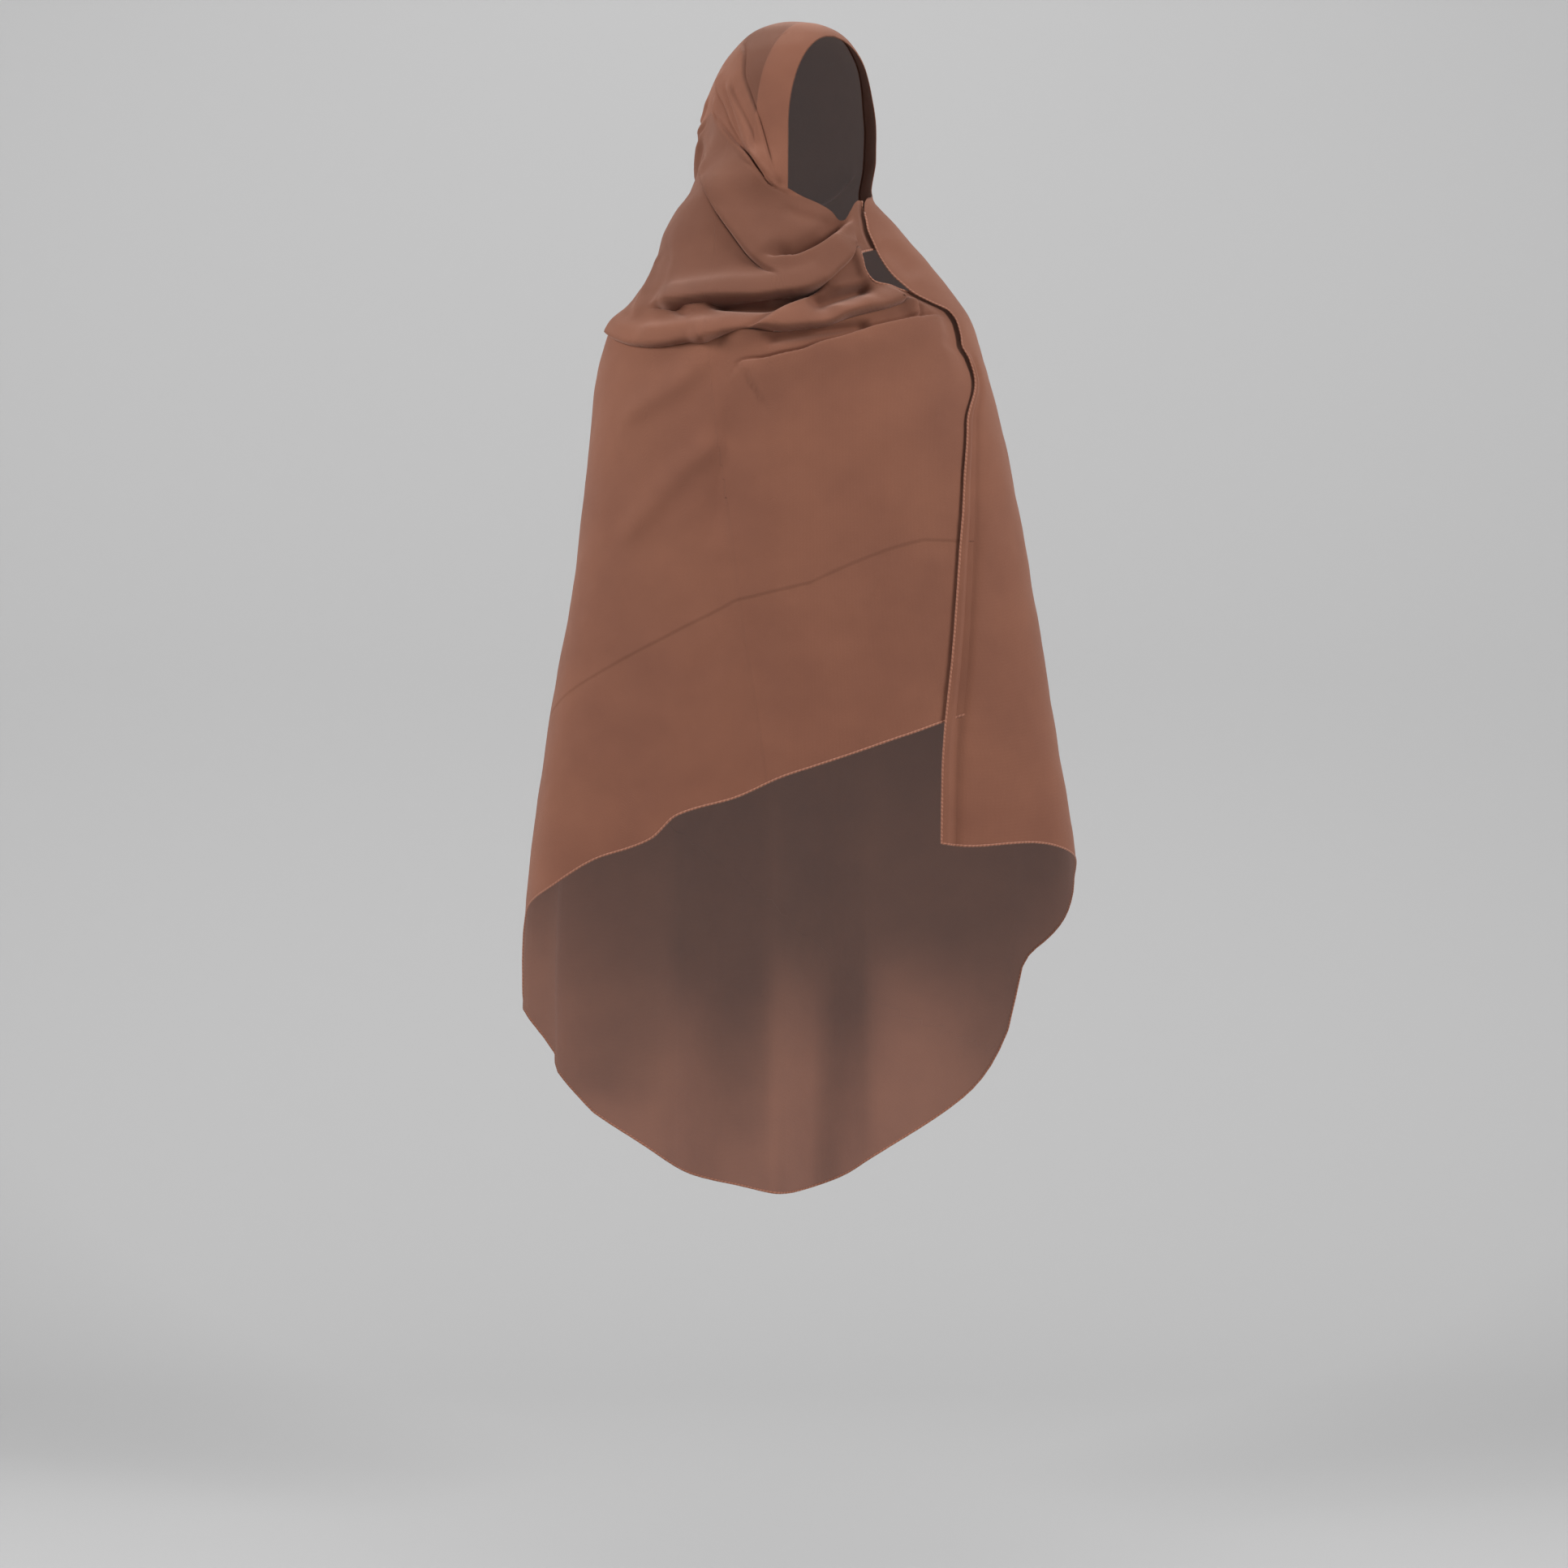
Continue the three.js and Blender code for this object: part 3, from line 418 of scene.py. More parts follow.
roots = np.sqrt(drop_at(sections[:, 0]))
zones = np.clip(np.ceil(sections[:, 0]).astype(int) - 1, 0, 2)
zone_depths = np.array([hood_depth, chest_depth, hem_depth])[zones]
zone_widths = np.array([hood_width, shoulder_span, hem_span])[zones]
turn_at = smooth_curve(roots, sections[:, 1])
front_at = smooth_curve(roots, sections[:, 2] * zone_depths)
back_at = smooth_curve(roots, sections[:, 3] * zone_depths)
left_at = smooth_curve(roots, sections[:, 4] * zone_widths)
right_at = smooth_curve(roots, sections[:, 5] * zone_widths)
square_at = smooth_curve(roots, sections[:, 6])


def plain_radius(angle, drop):
    """Distance of the plain form from the upright axis."""
    root = np.sqrt(np.maximum(drop, 0))
    turned = np.radians(angle - turn_at(root))
    ahead, aside = np.cos(turned), np.sin(turned)
    length = np.maximum(np.where(ahead > 0, front_at(root), back_at(root)), 0.001)
    width = np.maximum(np.where(aside > 0, right_at(root), left_at(root)), 0.001)
    power = square_at(root)
    total = np.abs(ahead / length) ** power + np.abs(aside / width) ** power
    return total ** (-1 / power)


def plain_point(angle, drop):
    radius = plain_radius(angle, drop)
    a = np.radians(angle)
    return np.stack([radius * np.sin(a), -radius * np.cos(a), -drop], -1)


def unit(vectors):
    return vectors / np.maximum(np.linalg.norm(vectors, axis=-1, keepdims=True), 1e-9)


def plain_slopes(angle, drop):
    """How the plain form's point moves for a degree and for a millimetre of drop."""
    low = np.maximum(drop - 0.5, 0)
    round_it = plain_point(angle + 0.5, drop) - plain_point(angle - 0.5, drop)
    fall = (drop + 0.5 - low)[..., None]
    down = (plain_point(angle, drop + 0.5) - plain_point(angle, low)) / fall
    return round_it, down


hanging_angle = smooth_curve(
    [face_widest_level, *hanging_edge[:, 0]],
    [head_turn + widest_half_angle * (1 + far_cheek_turn), *hanging_edge[:, 1]],
)
chin_level = smooth_curve(chin_edge[:, 0], chin_edge[:, 1])
panel_angle = smooth_curve(panel_edge[:, 0], panel_edge[:, 1])
panel_level = smooth_curve(panel_edge[:, 0], panel_edge[:, 2])
hem_level = smooth_curve(hem_line[:, 0], hem_line[:, 1])


def face_half_angle(level):
    rise = (face_widest_level - level) / (face_widest_level - face_top_level)
    half = face_half_width * np.sqrt(np.clip(1 - rise * rise, 0, 1))
    return np.degrees(np.arctan2(half, face_forward))


def start_angle(level):
    half = np.where(level < face_top_level, 0, face_half_angle(level))
    over_face = head_turn + half * (1 + far_cheek_turn * half / widest_half_angle)
    return np.where(level < face_widest_level, over_face, hanging_angle(level))


def cheek_angle(level):
    share = np.where(level < face_top_level, 0, face_half_angle(level)) / widest_half_angle
    over_face = head_turn + 360 + (cheek_edge - head_turn - 360) * share
    return np.where(level < face_widest_level, over_face, cheek_edge)


def fold_moves(angle, drop):
    """Lift of all the folds along the normal, and their lean as degrees and drop."""
    radius = np.maximum(plain_radius(angle, drop), 20)
    lift, lean_angle, lean_drop = np.zeros_like(angle), np.zeros_like(angle), np.zeros_like(angle)
    for fold in folds:
        points = np.array(fold["path"], float)
        points[:, 1] = drop_at(points[:, 1])
        reach = 3 * max(fold["above"], fold["below"], 8)
        wide = np.degrees(reach / np.maximum(radius, 60))
        near_by = (
            (angle > points[:, 0].min() - wide) & (angle < points[:, 0].max() + wide)
            & (drop > points[:, 1].min() - reach) & (drop < points[:, 1].max() + reach)
        )
        if not near_by.any():
            continue
        a, d, r = angle[near_by], drop[near_by], radius[near_by]
        knots = np.arange(len(points))
        fine = np.linspace(0, len(points) - 1, 5 * (len(points) - 1) + 1)
        path = np.stack([smooth_curve(knots, points[:, k])(fine) for k in (0, 1)], -1)
        best = np.full(a.shape, np.inf)
        side, along, gone, nx, ny = (np.zeros_like(a) for _ in range(5))
        for k in range(len(path) - 1):
            ax, ay = np.radians(path[k, 0] - a) * r, path[k, 1] - d
            ex, ey = np.radians(path[k + 1, 0] - path[k, 0]) * r, path[k + 1, 1] - path[k, 1]
            square = ex * ex + ey * ey
            t = np.clip(-(ax * ex + ay * ey) / square, 0, 1)
            distance = np.hypot(ax + ex * t, ay + ey * t)
            closer = distance < best
            best = np.where(closer, distance, best)
            side = np.where(closer, np.sign(ex * ay - ey * ax), side)
            size = np.sqrt(square)
            along = np.where(closer, gone + t * size, along)
            gone = gone + size
            nx, ny = np.where(closer, -ey / size, nx), np.where(closer, ex / size, ny)
        ends = np.minimum(2 * max(fold["above"], fold["below"], 8), gone / 3)
        fade = smooth_step(along / ends, 0, 1) * smooth_step((gone - along) / ends, 0, 1)
        width = np.where(side > 0, fold["above"], fold["below"])
        swell = fold["height"] * np.exp(-((best / width) ** 2))
        sharp = fold["below"] if fold["side"] > 0 else fold["above"]
        foot = best * np.where(side * fold["side"] < 0, 1, -1)
        crease = fold["groove"] * np.exp(-(((foot - 1.6 * sharp) / sharp) ** 2))
        lift[near_by] += fade * (swell - crease)
        push = fold["lean"] * fold["side"] * fade * np.exp(-((best / (2.2 * sharp)) ** 2))
        lean_angle[near_by] += np.degrees(push * nx / r)
        lean_drop[near_by] += push * ny
    return lift, lean_angle, lean_drop


def flute_lift(angle, level):
    lift = np.zeros_like(angle)
    for place, width, depth, top in flutes:
        reach = math.degrees(width * hem_span / (hem_depth * 0.8))
        grow = smooth_step(level, top, 3)
        lift += depth * hem_span * grow * np.exp(-(((angle - place) / reach) ** 2))
    return lift


def path_distance(angle, drop, path):
    """Signed distance in millimetres from a path of (angle, level) points."""
    radius = np.maximum(plain_radius(angle, drop), 20)
    path = np.array(path, float)
    path[:, 1] = drop_at(path[:, 1])
    best, side = np.full(angle.shape, np.inf), np.ones(angle.shape)
    for (a0, d0), (a1, d1) in zip(path, path[1:]):
        ax, ay = np.radians(a0 - angle) * radius, d0 - drop
        ex, ey = np.radians(a1 - a0) * radius, d1 - d0
        t = np.clip(-(ax * ex + ay * ey) / (ex * ex + ey * ey), 0, 1)
        distance = np.hypot(ax + ex * t, ay + ey * t)
        closer = distance < best
        best = np.where(closer, distance, best)
        side = np.where(closer, np.sign(ex * ay - ey * ax), side)
    return best * side


def edge_roll(angle, level, drop):
    """The hanging end's front edge turns outwards in a narrow roll below the shoulder."""
    roll_height, roll_place, roll_width = 4.5, 4, 4
    dip_depth, dip_place, dip_width = 3.5, 13, 5
    inside = np.radians(angle - start_angle(level)) * plain_radius(angle, drop)
    roll = roll_height * np.exp(-(((inside - roll_place) / roll_width) ** 2))
    roll = roll - dip_depth * np.exp(-(((inside - dip_place) / dip_width) ** 2))
    return roll * smooth_step(level, 1.82, 1.98)


def cloth_point(angle, level):
    """Places on the worn cloth, and the way out from it, at these angles and levels."""
    angle, level = np.broadcast_arrays(np.asarray(angle, float), np.asarray(level, float))
    drop = drop_at(level)
    round_it, down = plain_slopes(angle, drop)
    out = unit(np.cross(down, round_it))
    out[drop < 1] = (0, 0, 1)
    lift, lean_angle, lean_drop = fold_moves(angle, drop)
    lift = lift + edge_roll(angle, level, drop)
    hanging = start_angle(level) + 360
    tuck_width = throat_tuck + (panel_tuck - throat_tuck) * smooth_step(level, 1.15, 1.4)
    tucked = smooth_step(angle, hanging - tuck_width, hanging - 1)
    tucked = tucked * smooth_step(level, opening_foot, opening_foot + 0.07)
    free = 1 - tucked
    point = plain_point(angle + lean_angle * free, np.maximum(drop + lean_drop * free, 0))
    radial = np.stack([np.sin(np.radians(angle)), -np.cos(np.radians(angle)), 0 * angle], -1)
    wider, closer = smooth_step(level, 1.54, 1.63), smooth_step(level, 1.76, 2.05)
    gap = layer_gap * (1 + 0.4 * wider - 0.9 * closer)
    point += radial * (flute_lift(angle, level) * free - gap * tucked)[..., None]
    return point + out * (lift * free)[..., None], out


# Rows of the grid, closer together at the crown and at the foot of the skirt, and columns from the
# hanging end's edge to the middle of the left side, on to the opening, and across the front panel
levels = np.concatenate([
    face_top_level * np.linspace(0, 1, 19) ** 1.7,
    np.linspace(face_top_level, face_widest_level, 53)[1:],
    np.linspace(face_widest_level, opening_foot, 31)[1:],
    np.linspace(opening_foot, 2, 106)[1:],
    2 + np.linspace(0, 1, 101)[1:] ** 0.92,
])
wrap_row = int(np.argmin(np.abs(levels - opening_foot)))
back_columns, left_columns, front_columns = 104, 116, 90
left_side = 268


def fit_to_hem(level, angle_at):
    """Stretches the rows below the yoke to end on the hem line."""
    angle = angle_at(level)
    fitted = level
    for _ in range(4):
        fitted = np.where(level > 2, 2 + (level - 2) * (hem_level(angle) - 2), level)
        angle = angle_at(fitted)
    return angle, fitted


def hood_grid(column, level):
    """Angle and level on the hood, back and hanging end."""
    def angle_at(lv):
        back = column / back_columns
        back = 0.35 * back + 0.65 * back**1.6  # closer together along the free edge
        left = (column - back_columns) / left_columns
        over_back = start_angle(lv) + (left_side - start_angle(lv)) * back
        over_left = left_side + (cheek_angle(lv) - left_side) * left
        return np.where(column <= back_columns, over_back, over_left)

    return fit_to_hem(level, angle_at)


def front_grid(column, level):
    """Angle and level on the front panel, from the cheek to under the hanging end."""
    share = column / front_columns

    def angle_at(lv):
        return cheek_edge + (panel_angle(lv) - cheek_edge) * share

    angle, fitted = fit_to_hem(level, angle_at)
    fitted = fitted + (panel_level(fitted) - fitted) * share
    straight = opening_foot + (chin_edge[-1, 1] - opening_foot) * share
    chin_fade = np.clip(1 - (level - opening_foot) / 0.25, 0, 1)
    return angle, fitted + (chin_level(angle) - straight) * chin_fade


def crumple(points):
    """Slight unevenness of limp cloth, the same wherever two pieces of cloth meet."""
    slow_length, slow_height, fine_length, fine_height = 46, 1.1, 17, 0.35
    slow = np.array([noise.noise(Vector(p) / slow_length) for p in points])
    fine = np.array([noise.noise(Vector(p) / fine_length + Vector((31, 7, 3))) for p in points])
    return slow_height * slow + fine_height * fine


cloth = bmesh.new()
# The layers attribute carries the tone by number of layers and the painted shade below the chin.
layers = cloth.verts.layers.float.new("layers")
marks_across = cloth.verts.layers.float.new("marks_across")
marks_down = cloth.verts.layers.float.new("marks_down")
weave_map = cloth.loops.layers.uv.new("weave")
edges = {}
near_rim = np.linspace(opening_foot, face_top_level, 90)
far_rim = near_rim[::-1][1:]
rim_levels = np.concatenate([near_rim, far_rim])
rim_angles = np.concatenate([cheek_angle(near_rim), start_angle(far_rim) + 360])
rim_angles = np.where(rim_angles > 360 + head_turn, rim_angles - 360, rim_angles)
rim_points = cloth_point(rim_angles, rim_levels)[0]
band_width, band_lift, wrap_fade = 38, 0.7, 0.012
wrap_top_path = np.array([fold["path"] for fold in folds if fold["name"] == "wrap top"][0])
layer_path = np.array([fold["path"] for fold in folds if fold["name"] == "hood layer"][0])


def wrap_top(angle):
    """Level above which the hood isn't covered by the wrap under the chin."""
    over_back = [opening_foot, 0.5]
    return np.interp(angle, [150, 240, *wrap_top_path[:, 0]], [*over_back, *wrap_top_path[:, 1]])


def layer_start(level):
    """Angle from which one layer alone covers the head."""
    return np.interp(level, [0, *layer_path[:, 1]], [225, *layer_path[:, 0]])


for part, columns, first_row, place in (
    ("hood", back_columns + left_columns, 0, hood_grid),
    ("front", front_columns, wrap_row, front_grid),
):
    rows = len(levels) - 1 - first_row
    made = bmesh.ops.create_grid(cloth, x_segments=columns, y_segments=rows, size=1)["verts"]
    column = np.rint(np.array([(v.co.x + 1) / 2 * columns for v in made])).astype(int)
    row = np.rint(np.array([(1 - v.co.y) / 2 * rows for v in made])).astype(int)
    angle, level = place(column.astype(float), levels[row + first_row])
    points, out = cloth_point(angle, level)
    points = points + out * (crumple(points) * smooth_step(level, 0.02, 0.2))[:, None]
    nearest = np.full(len(points), np.inf)
    for rim_point in rim_points:
        nearest = np.minimum(nearest, np.linalg.norm(points - rim_point, axis=1))
    in_band = 1 - smooth_step(nearest, band_width - 1, band_width + 1)
    above_wrap = 1 - smooth_step(level - wrap_top(angle), -wrap_fade, 0)
    in_band *= above_wrap
    points = points + out * (band_lift * in_band)[:, None]
    # The layers tone is 0 where one layer lies on the hood, 0.5 on loose cloth and 1 on the band.
    # On the wrap below the chin it is lowered, fading out across the upper chest, as painted shade.
    single = smooth_step(angle - layer_start(level), -0.8, 0.8) * above_wrap
    single = np.clip(single + (angle < 200) * (level < opening_foot), 0, 1) * (1 - in_band)
    # Painted shade: the wrap below the chin is darkened through the layers tone.
    chin_shade = smooth_step(level - wrap_top(angle), 0, 0.02) * (angle > 240)
    chin_shade = chin_shade * (1 - smooth_step(level, 1.45, 1.75))
    layer_count_and_shade = 0.5 - 0.36 * chin_shade - 0.5 * single + 0.5 * in_band
    table = np.zeros((rows + 1, columns + 1, 3))
    table[row, column] = points
    across = np.cumsum(np.linalg.norm(np.diff(table, axis=1, prepend=table[:, :1]), axis=2), axis=1)
    down = np.cumsum(np.linalg.norm(np.diff(table, axis=0, prepend=table[:1]), axis=2), axis=0)
    edges[part] = table
    across_line = path_distance(angle, drop_at(level), crease_across)
    down_line = path_distance(angle, drop_at(level), crease_down)
    for vert, point, share, mark, other in zip(made, points, layer_count_and_shade, across_line, down_line):
        vert.co = Vector(point) * MM
        vert[layers] = share
        vert[marks_across] = mark * MM
        vert[marks_down] = other * MM
    spot = {v: (across[r, c] * MM, down[r, c] * MM) for v, r, c in zip(made, row, column)}
    for face in {f for v in made for f in v.link_faces}:
        for loop in face.loops:
            loop[weave_map].uv = spot[loop.vert]
bmesh.ops.remove_doubles(cloth, verts=cloth.verts, dist=0.02 * MM)
cloth.normal_update()
centres = [(f.normal, f.calc_center_median()) for f in cloth.faces]
if sum(way.x * centre.x + way.y * centre.y for way, centre in centres) < 0:
    bmesh.ops.reverse_faces(cloth, faces=cloth.faces)
for face in cloth.faces:
    face.smooth = True
cloth_mesh = bpy.data.meshes.new("draped_cloth")
cloth.to_mesh(cloth_mesh)
cloth.free()
draped_cloth = bpy.data.objects.new("draped_cloth", cloth_mesh)
bpy.context.scene.collection.objects.link(draped_cloth)

# Crepe chiffon: matt, slightly sheer polyester of hard twisted yarn. The eye sees a dry, faintly
# pebbled weave with soft tone changes, a bright haze at grazing angles and no gloss. The weave is
# drawn about four times coarser than the real 0.3 mm threads so that it shows at all.
thread_spacing = 1.2 * MM
wave_scale = 0.314  # a wave texture of this scale has one band to a metre
uneven_yarn = {"Distortion": 1.5, "Detail": 1.0, "Detail Scale": 3.0}
pebble_size, cloud_size, mark_half_width = 2.6 * MM, 120 * MM, 3.2 * MM
chiffon, chiffon_shader = new_material("crepe_chiffon")
weave_place = add_node(chiffon, "ShaderNodeUVMap", {"uv_map": "weave"})
body_place = add_node(chiffon, "ShaderNodeTexCoord")
warp = add_node(
    chiffon, "ShaderNodeTexWave", {"bands_direction": "X"},
    {"Vector": weave_place.outputs["UV"], "Scale": wave_scale / thread_spacing, **uneven_yarn},
)
weft = add_node(
    chiffon, "ShaderNodeTexWave", {"bands_direction": "Y"},
    {"Vector": weave_place.outputs["UV"], "Scale": wave_scale / thread_spacing, **uneven_yarn},
)
threads = add_node(chiffon, "ShaderNodeMath", {"operation": "MULTIPLY"})
chiffon.node_tree.links.new(warp.outputs["Fac"], threads.inputs[0])
chiffon.node_tree.links.new(weft.outputs["Fac"], threads.inputs[1])
pebble = add_node(
    chiffon, "ShaderNodeTexNoise", {},
    {
        "Vector": body_place.outputs["Object"], "Scale": 1 / pebble_size,
        "Detail": 3.0, "Roughness": 0.6,
    },
)
relief = add_node(chiffon, "ShaderNodeMath", {"operation": "ADD"})
chiffon.node_tree.links.new(threads.outputs[0], relief.inputs[0])
chiffon.node_tree.links.new(pebble.outputs["Fac"], relief.inputs[1])
bump = add_node(
    chiffon, "ShaderNodeBump", {},
    {"Height": relief.outputs[0], "Strength": 0.35, "Distance": 0.25 * MM},
)
for mark_name, mark_depth in (("marks_across", 1.1), ("marks_down", 0.8)):
    mark = add_node(chiffon, "ShaderNodeAttribute", {"attribute_name": mark_name})
    near_mark = add_node(
        chiffon, "ShaderNodeMapRange", {"interpolation_type": "SMOOTHERSTEP"},
        {"Value": mark.outputs["Fac"], "From Min": -mark_half_width, "From Max": mark_half_width},
    )
    bump = add_node(
        chiffon, "ShaderNodeBump", {},
        {
            "Height": near_mark.outputs["Result"], "Strength": 1.0,
            "Distance": mark_depth * MM, "Normal": bump.outputs["Normal"],
        },
    )
cloud = add_node(
    chiffon, "ShaderNodeTexNoise", {},
    {
        "Vector": body_place.outputs["Object"], "Scale": 1 / cloud_size,
        "Detail": 4.0, "Roughness": 0.55,
    },
)
tone = add_node(chiffon, "ShaderNodeValToRGB", {}, {"Fac": cloud.outputs["Fac"]})
tone.color_ramp.elements[0].position = 0.3
tone.color_ramp.elements[0].color = paint("#865643")
tone.color_ramp.elements[1].position = 0.72
tone.color_ramp.elements[1].color = paint("#94614B")
# Layers tone: darker on a single layer and lighter on the doubled band. It is darkened further
# below the chin as painted shade.
layer_and_shade_share = add_node(chiffon, "ShaderNodeAttribute", {"attribute_name": "layers"})
layer_and_shade_tone = add_node(chiffon, "ShaderNodeValToRGB", {}, {"Fac": layer_and_shade_share.outputs["Fac"]})
layer_and_shade_tone.color_ramp.elements[0].color = paint("#CECECE")
layer_and_shade_tone.color_ramp.elements[1].color = paint("#F5F5F5")
layer_and_shade_tone.color_ramp.elements.new(0.5).color = paint("#F2F2F2")
multiply = {"data_type": "RGBA", "blend_type": "MULTIPLY"}
tone_with_layers_and_shade = add_node(chiffon, "ShaderNodeMix", multiply, {"Factor": 1.0})
chiffon.node_tree.links.new(tone.outputs["Color"], tone_with_layers_and_shade.inputs[6])
chiffon.node_tree.links.new(layer_and_shade_tone.outputs["Color"], tone_with_layers_and_shade.inputs[7])
speckle = add_node(chiffon, "ShaderNodeMix", multiply, {"Factor": 1.0})
chiffon.node_tree.links.new(tone_with_layers_and_shade.outputs[2], speckle.inputs[6])
thread_tone = add_node(chiffon, "ShaderNodeValToRGB", {}, {"Fac": threads.outputs[0]})
thread_tone.color_ramp.elements[0].color = paint("#E6E2E0")
thread_tone.color_ramp.elements[1].color = paint("#FFFFFF")
chiffon.node_tree.links.new(thread_tone.outputs["Color"], speckle.inputs[7])
chiffon.node_tree.links.new(speckle.outputs[2], chiffon_shader.inputs["Base Color"])
chiffon.node_tree.links.new(bump.outputs["Normal"], chiffon_shader.inputs["Normal"])
chiffon_shader.inputs["Roughness"].default_value = 0.82
chiffon_shader.inputs["IOR"].default_value = 1.45
chiffon_shader.inputs["Specular IOR Level"].default_value = 0.25
chiffon_shader.inputs["Sheen Weight"].default_value = 0.4
chiffon_shader.inputs["Sheen Roughness"].default_value = 0.5
chiffon_shader.inputs["Sheen Tint"].default_value = paint("#E8C0B0")
chiffon_shader.inputs["Alpha"].default_value = 0.94
cloth_mesh.materials.append(chiffon)
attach(draped_cloth, "root")
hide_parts("scarf_cloth")

# Face band: the long edge is turned under 38 mm all round the face, so that two layers lie
# together there. It is the same chiffon, folded softly at the rim and ending in its own hem.
band_steps = 20
band_inside = 1.6
walk_angle, walk_drop = rim_angles, drop_at(rim_levels)
places = [(walk_angle, walk_drop)]
rim_way = unit(np.gradient(rim_points, axis=0))
round_it, down = plain_slopes(walk_angle, walk_drop)
out = unit(np.cross(down, round_it))
away = unit(np.cross(out, rim_way))
face_middle = rim_points.mean(axis=0)
away *= np.sign((away * (rim_points - face_middle)).sum(-1).mean())
step_length = band_width / band_steps
for _ in range(band_steps):
    round_it, down = plain_slopes(walk_angle, walk_drop)
    out = unit(np.cross(down, round_it))
    away = unit(away - out * (away * out).sum(-1, keepdims=True))
    rr, dd, rd = (round_it**2).sum(-1), (down**2).sum(-1), (round_it * down).sum(-1)
    ar, ad = (away * round_it).sum(-1), (away * down).sum(-1)
    scale = step_length / np.maximum(rr * dd - rd * rd, 1e-9)
    walk_angle = walk_angle + scale * (ar * dd - ad * rd)
    walk_drop = np.maximum(walk_drop + scale * (ad * rr - ar * rd), 0.5)
    places.append((walk_angle, walk_drop))
band_lines = []
for walk_angle, walk_drop in places:
    level = np.interp(walk_drop, drops, [0, 1, 2, 3])
    points, out = cloth_point(walk_angle, level)
    points = points + out * (crumple(points) * smooth_step(level, 0.02, 0.2) + band_lift)[:, None]
    band_lines.append((points, out))
rim, rim_out = band_lines[0]
first_way = unit(band_lines[1][0] - rim)
last, last_out = band_lines[-1]
last_way = unit(last - band_lines[-2][0])
band_rows = [
    rim - first_way * a - rim_out * b for a, b in ((0, 0), (0.6, 0.15), (0.9, 0.8), (0.6, 1.4))
]
band_rows += [points - out * band_inside for points, out in band_lines]
band_rows += [
    last + last_way * a - last_out * (band_inside + b)
    for a, b in ((1.0, 0.6), (1.6, 1.2), (1.0, 1.8), (0, 1.6), (-0.4, 1.0), (0, 0.4))
]
band = bmesh.new()
band_map = band.loops.layers.uv.new("weave")
columns, rows = len(rim) - 1, len(band_rows) - 1
made = bmesh.ops.create_grid(band, x_segments=columns, y_segments=rows, size=1)["verts"]
spot = {}
for vert in made:
    c, r = round((vert.co.x + 1) / 2 * columns), round((1 - vert.co.y) / 2 * rows)
    spot[vert] = (c * 3 * MM, r * step_length * MM)
    vert.co = Vector(band_rows[r][c]) * MM
for face in band.faces:
    face.smooth = True
    for loop in face.loops:
        loop[band_map].uv = spot[loop.vert]
bmesh.ops.recalc_face_normals(band, faces=band.faces)
band_mesh = bpy.data.meshes.new("turned_band")
band.to_mesh(band_mesh)
band.free()
turned_band = bpy.data.objects.new("turned_band", band_mesh)
bpy.context.scene.collection.objects.link(turned_band)
band_mesh.materials.append(chiffon)
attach(turned_band, "root")
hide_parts("face_band")

# Rolled hem: the free edges are rolled twice and stitched, which leaves a firm round bead a little
# over 2 mm thick, less sheer than the cloth because several layers lie together.
hem_radius = 1.1
hem_sides = 8
hood_edge, front_edge = edges["hood"], edges["front"]
hem_top_row = int(np.argmin(np.abs(levels - 0.95)))
hem_path = np.concatenate([
    hood_edge[hem_top_row:, 0],
    hood_edge[-1, 1:],
    front_edge[-1, 1:],
    front_edge[-2::-1, -1],
])
inner_path = np.concatenate([
    hood_edge[hem_top_row:, 1],
    hood_edge[-2, 1:],
    front_edge[-2, 1:],
    front_edge[-2::-1, -2],
])
lengths = np.concatenate([[0], np.cumsum(np.linalg.norm(np.diff(hem_path, axis=0), axis=1))])
bead_spacing = 3.5
bead_count = int(lengths[-1] / bead_spacing)
stops = np.linspace(0, lengths[-1], bead_count + 1)
hem_path, inner_path = (
    np.stack([np.interp(stops, lengths, path[:, k]) for k in range(3)], -1)
    for path in (hem_path, inner_path)
)
way = unit(np.gradient(hem_path, axis=0))
inward = inner_path - hem_path
inward = unit(inward - way * (inward * way).sum(-1, keepdims=True))
kernel = np.ones(5) / 5
padded = np.pad(inward, ((2, 2), (0, 0)), mode="edge")
inward = unit(np.stack([np.convolve(padded[:, k], kernel, "valid") for k in range(3)], -1))
upright = unit(np.cross(way, inward))
bead = bmesh.new()
bead_map = bead.loops.layers.uv.new("weave")
made = bmesh.ops.create_grid(bead, x_segments=hem_sides, y_segments=bead_count, size=1)["verts"]
spot = {}
for vert in made:
    s, k = round((vert.co.x + 1) / 2 * hem_sides), round((1 - vert.co.y) / 2 * bead_count)
    spot[vert] = (s / hem_sides, stops[k] * MM)
    turn = 2 * math.pi * (s % hem_sides) / hem_sides
    swell = hem_radius * (1 + 0.16 * noise.noise(Vector(hem_path[k]) / 6))
    centre = hem_path[k] + inward[k] * 0.5 * hem_radius
    across = inward[k] * swell * 1.15 * math.cos(turn) + upright[k] * swell * 0.85 * math.sin(turn)
    vert.co = Vector(centre + across) * MM
for face in bead.faces:
    face.smooth = True
    for loop in face.loops:
        loop[bead_map].uv = spot[loop.vert]
bmesh.ops.remove_doubles(bead, verts=bead.verts, dist=0.001 * MM)
bmesh.ops.holes_fill(bead, edges=[e for e in bead.edges if e.is_boundary], sides=hem_sides)
bmesh.ops.recalc_face_normals(bead, faces=bead.faces)
hem_mesh = bpy.data.meshes.new("hem_bead")
bead.to_mesh(hem_mesh)
bead.free()
hem_bead = bpy.data.objects.new("hem_bead", hem_mesh)
bpy.context.scene.collection.objects.link(hem_bead)
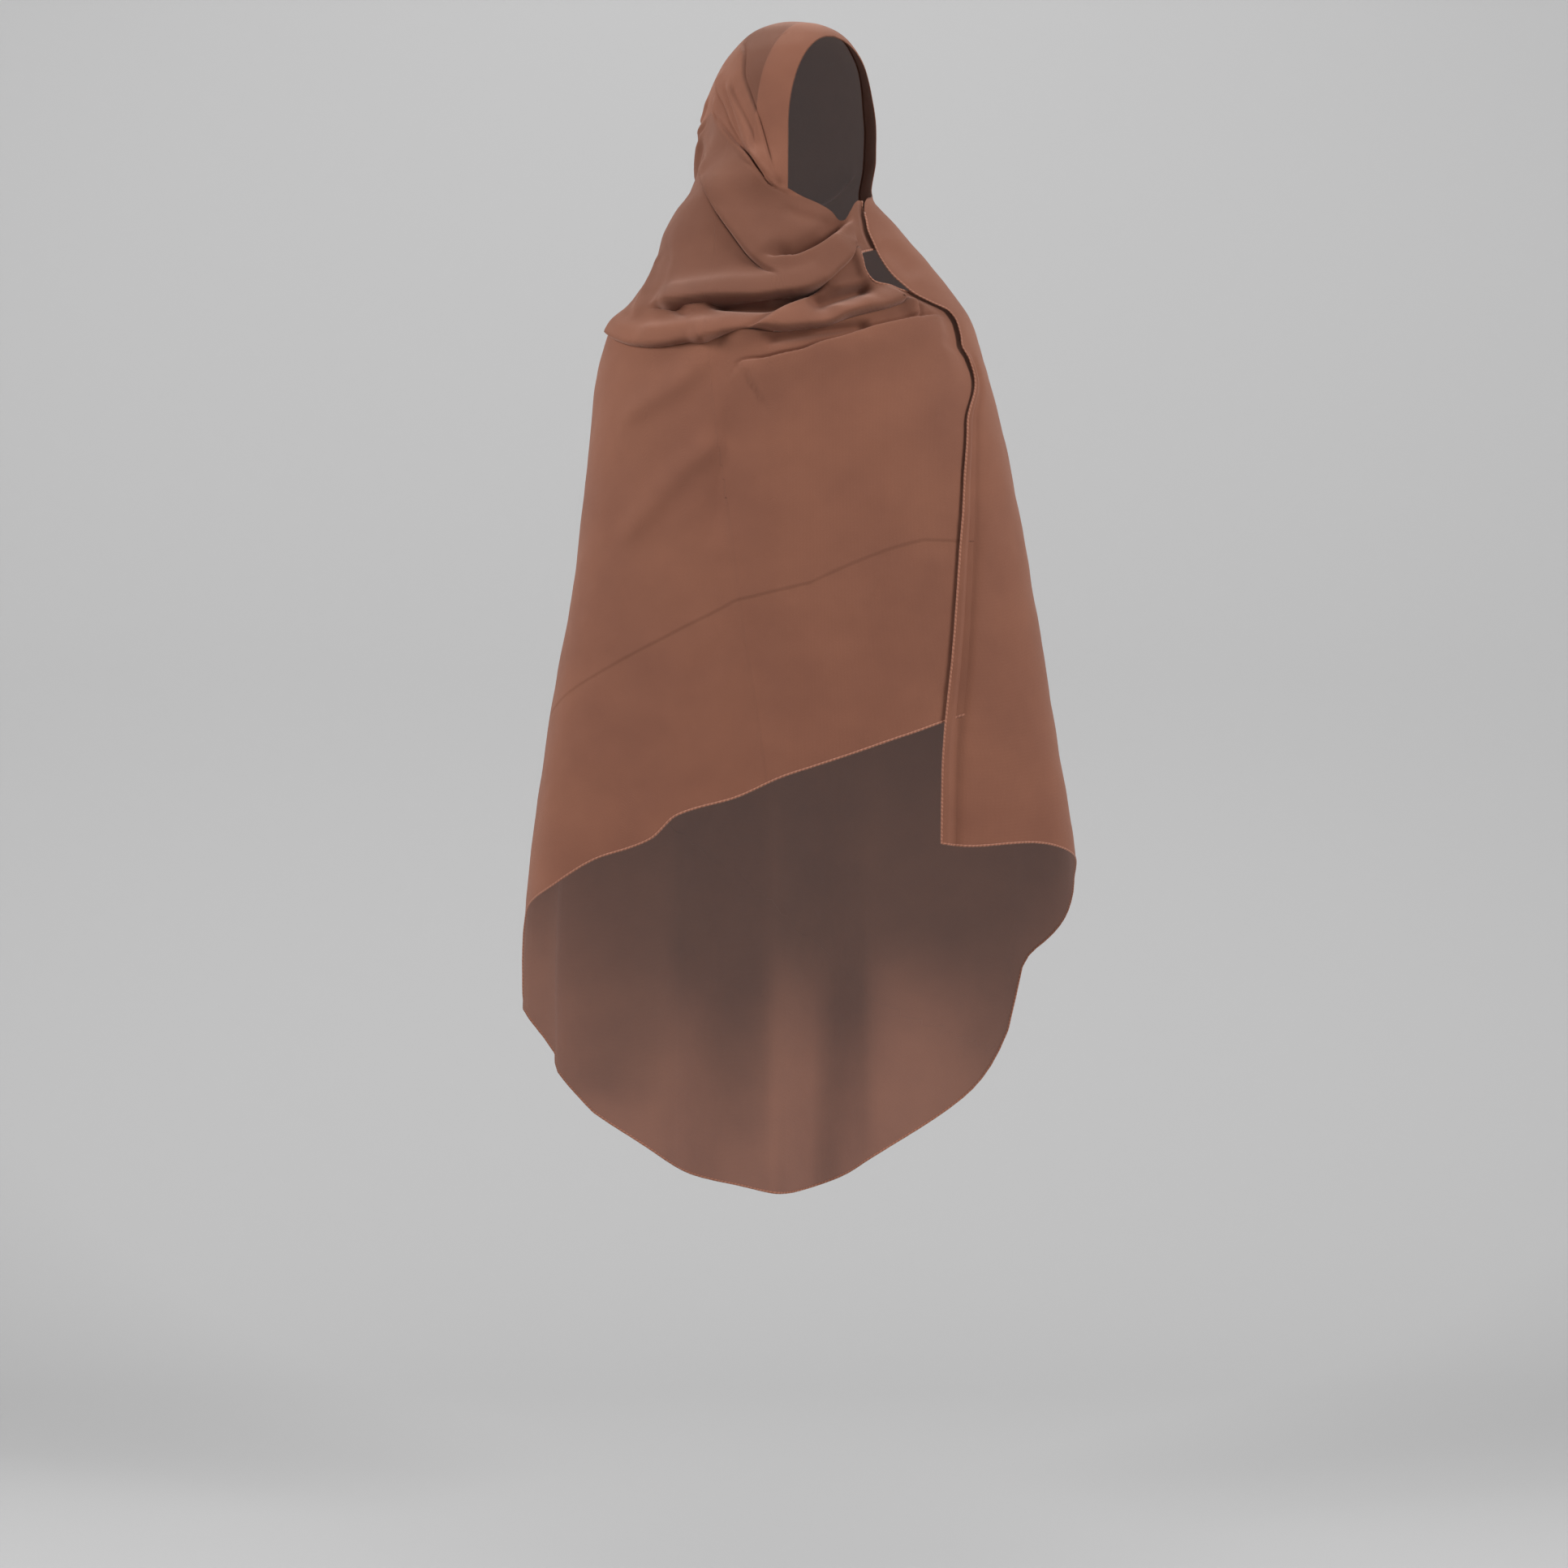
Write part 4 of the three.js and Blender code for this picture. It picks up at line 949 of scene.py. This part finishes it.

# Rolled chiffon: the same cloth in several layers, pulled into slanted ridges by the stitches,
# so the eye sees a slim cord with a fine twist, with painted highlight on its ridges and painted
# shade in its grooves. The stitches are 4 mm apart.
stitch_spacing = 4 * MM
rolled, rolled_shader = new_material("rolled_chiffon")
hem_place = add_node(rolled, "ShaderNodeUVMap", {"uv_map": "weave"})
twist_place = add_node(
    rolled, "ShaderNodeMapping", {},
    {
        "Vector": hem_place.outputs["UV"], "Scale": (2.0 * stitch_spacing, 1.0, 1.0),
        "Rotation": (0, 0, 0.5),
    },
)
twist = add_node(
    rolled, "ShaderNodeTexWave", {"bands_direction": "Y"},
    {
        "Vector": twist_place.outputs["Vector"], "Scale": wave_scale / stitch_spacing,
        "Distortion": 2.0, "Detail": 1.0,
    },
)
twist_bump = add_node(
    rolled, "ShaderNodeBump", {},
    {"Height": twist.outputs["Fac"], "Strength": 0.6, "Distance": 0.5 * MM},
)
# Painted highlight and shade: the twist height that drives the bump also paints the ridges lighter
# and the grooves darker.
ridge_highlight_tone = add_node(rolled, "ShaderNodeValToRGB", {}, {"Fac": twist.outputs["Fac"]})
ridge_highlight_tone.color_ramp.elements[0].color = paint("#845441")
ridge_highlight_tone.color_ramp.elements[1].color = paint("#9B6953")
rolled.node_tree.links.new(ridge_highlight_tone.outputs["Color"], rolled_shader.inputs["Base Color"])
rolled.node_tree.links.new(twist_bump.outputs["Normal"], rolled_shader.inputs["Normal"])
rolled_shader.inputs["Roughness"].default_value = 0.78
rolled_shader.inputs["Specular IOR Level"].default_value = 0.25
rolled_shader.inputs["Sheen Weight"].default_value = 0.2
hem_mesh.materials.append(rolled)
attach(hem_bead, "root")
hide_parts("rolled_hem")

# Wrap pin: a plain ball-headed steel pin, out of sight between the hanging end and the panel that
# it holds. It stays the solid of the frame and is given polished steel.
polished_steel, steel_shader = new_material("polished_steel")
steel_place = add_node(polished_steel, "ShaderNodeTexCoord")
drawing_marks = add_node(
    polished_steel, "ShaderNodeTexNoise", {},
    {"Vector": steel_place.outputs["Object"], "Scale": 1 / (0.8 * MM), "Detail": 2.0},
)
steel_tone = add_node(
    polished_steel, "ShaderNodeValToRGB", {}, {"Fac": drawing_marks.outputs["Fac"]}
)
steel_tone.color_ramp.elements[0].color = paint("#A9AAAE")
steel_tone.color_ramp.elements[1].color = paint("#D2D3D6")
polished_steel.node_tree.links.new(steel_tone.outputs["Color"], steel_shader.inputs["Base Color"])
steel_shader.inputs["Metallic"].default_value = 1.0
steel_shader.inputs["Roughness"].default_value = 0.22
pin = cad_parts["wrap_pin"]
pin.data.materials.clear()
pin.data.materials.append(polished_steel)

bpy.context.view_layer.update()
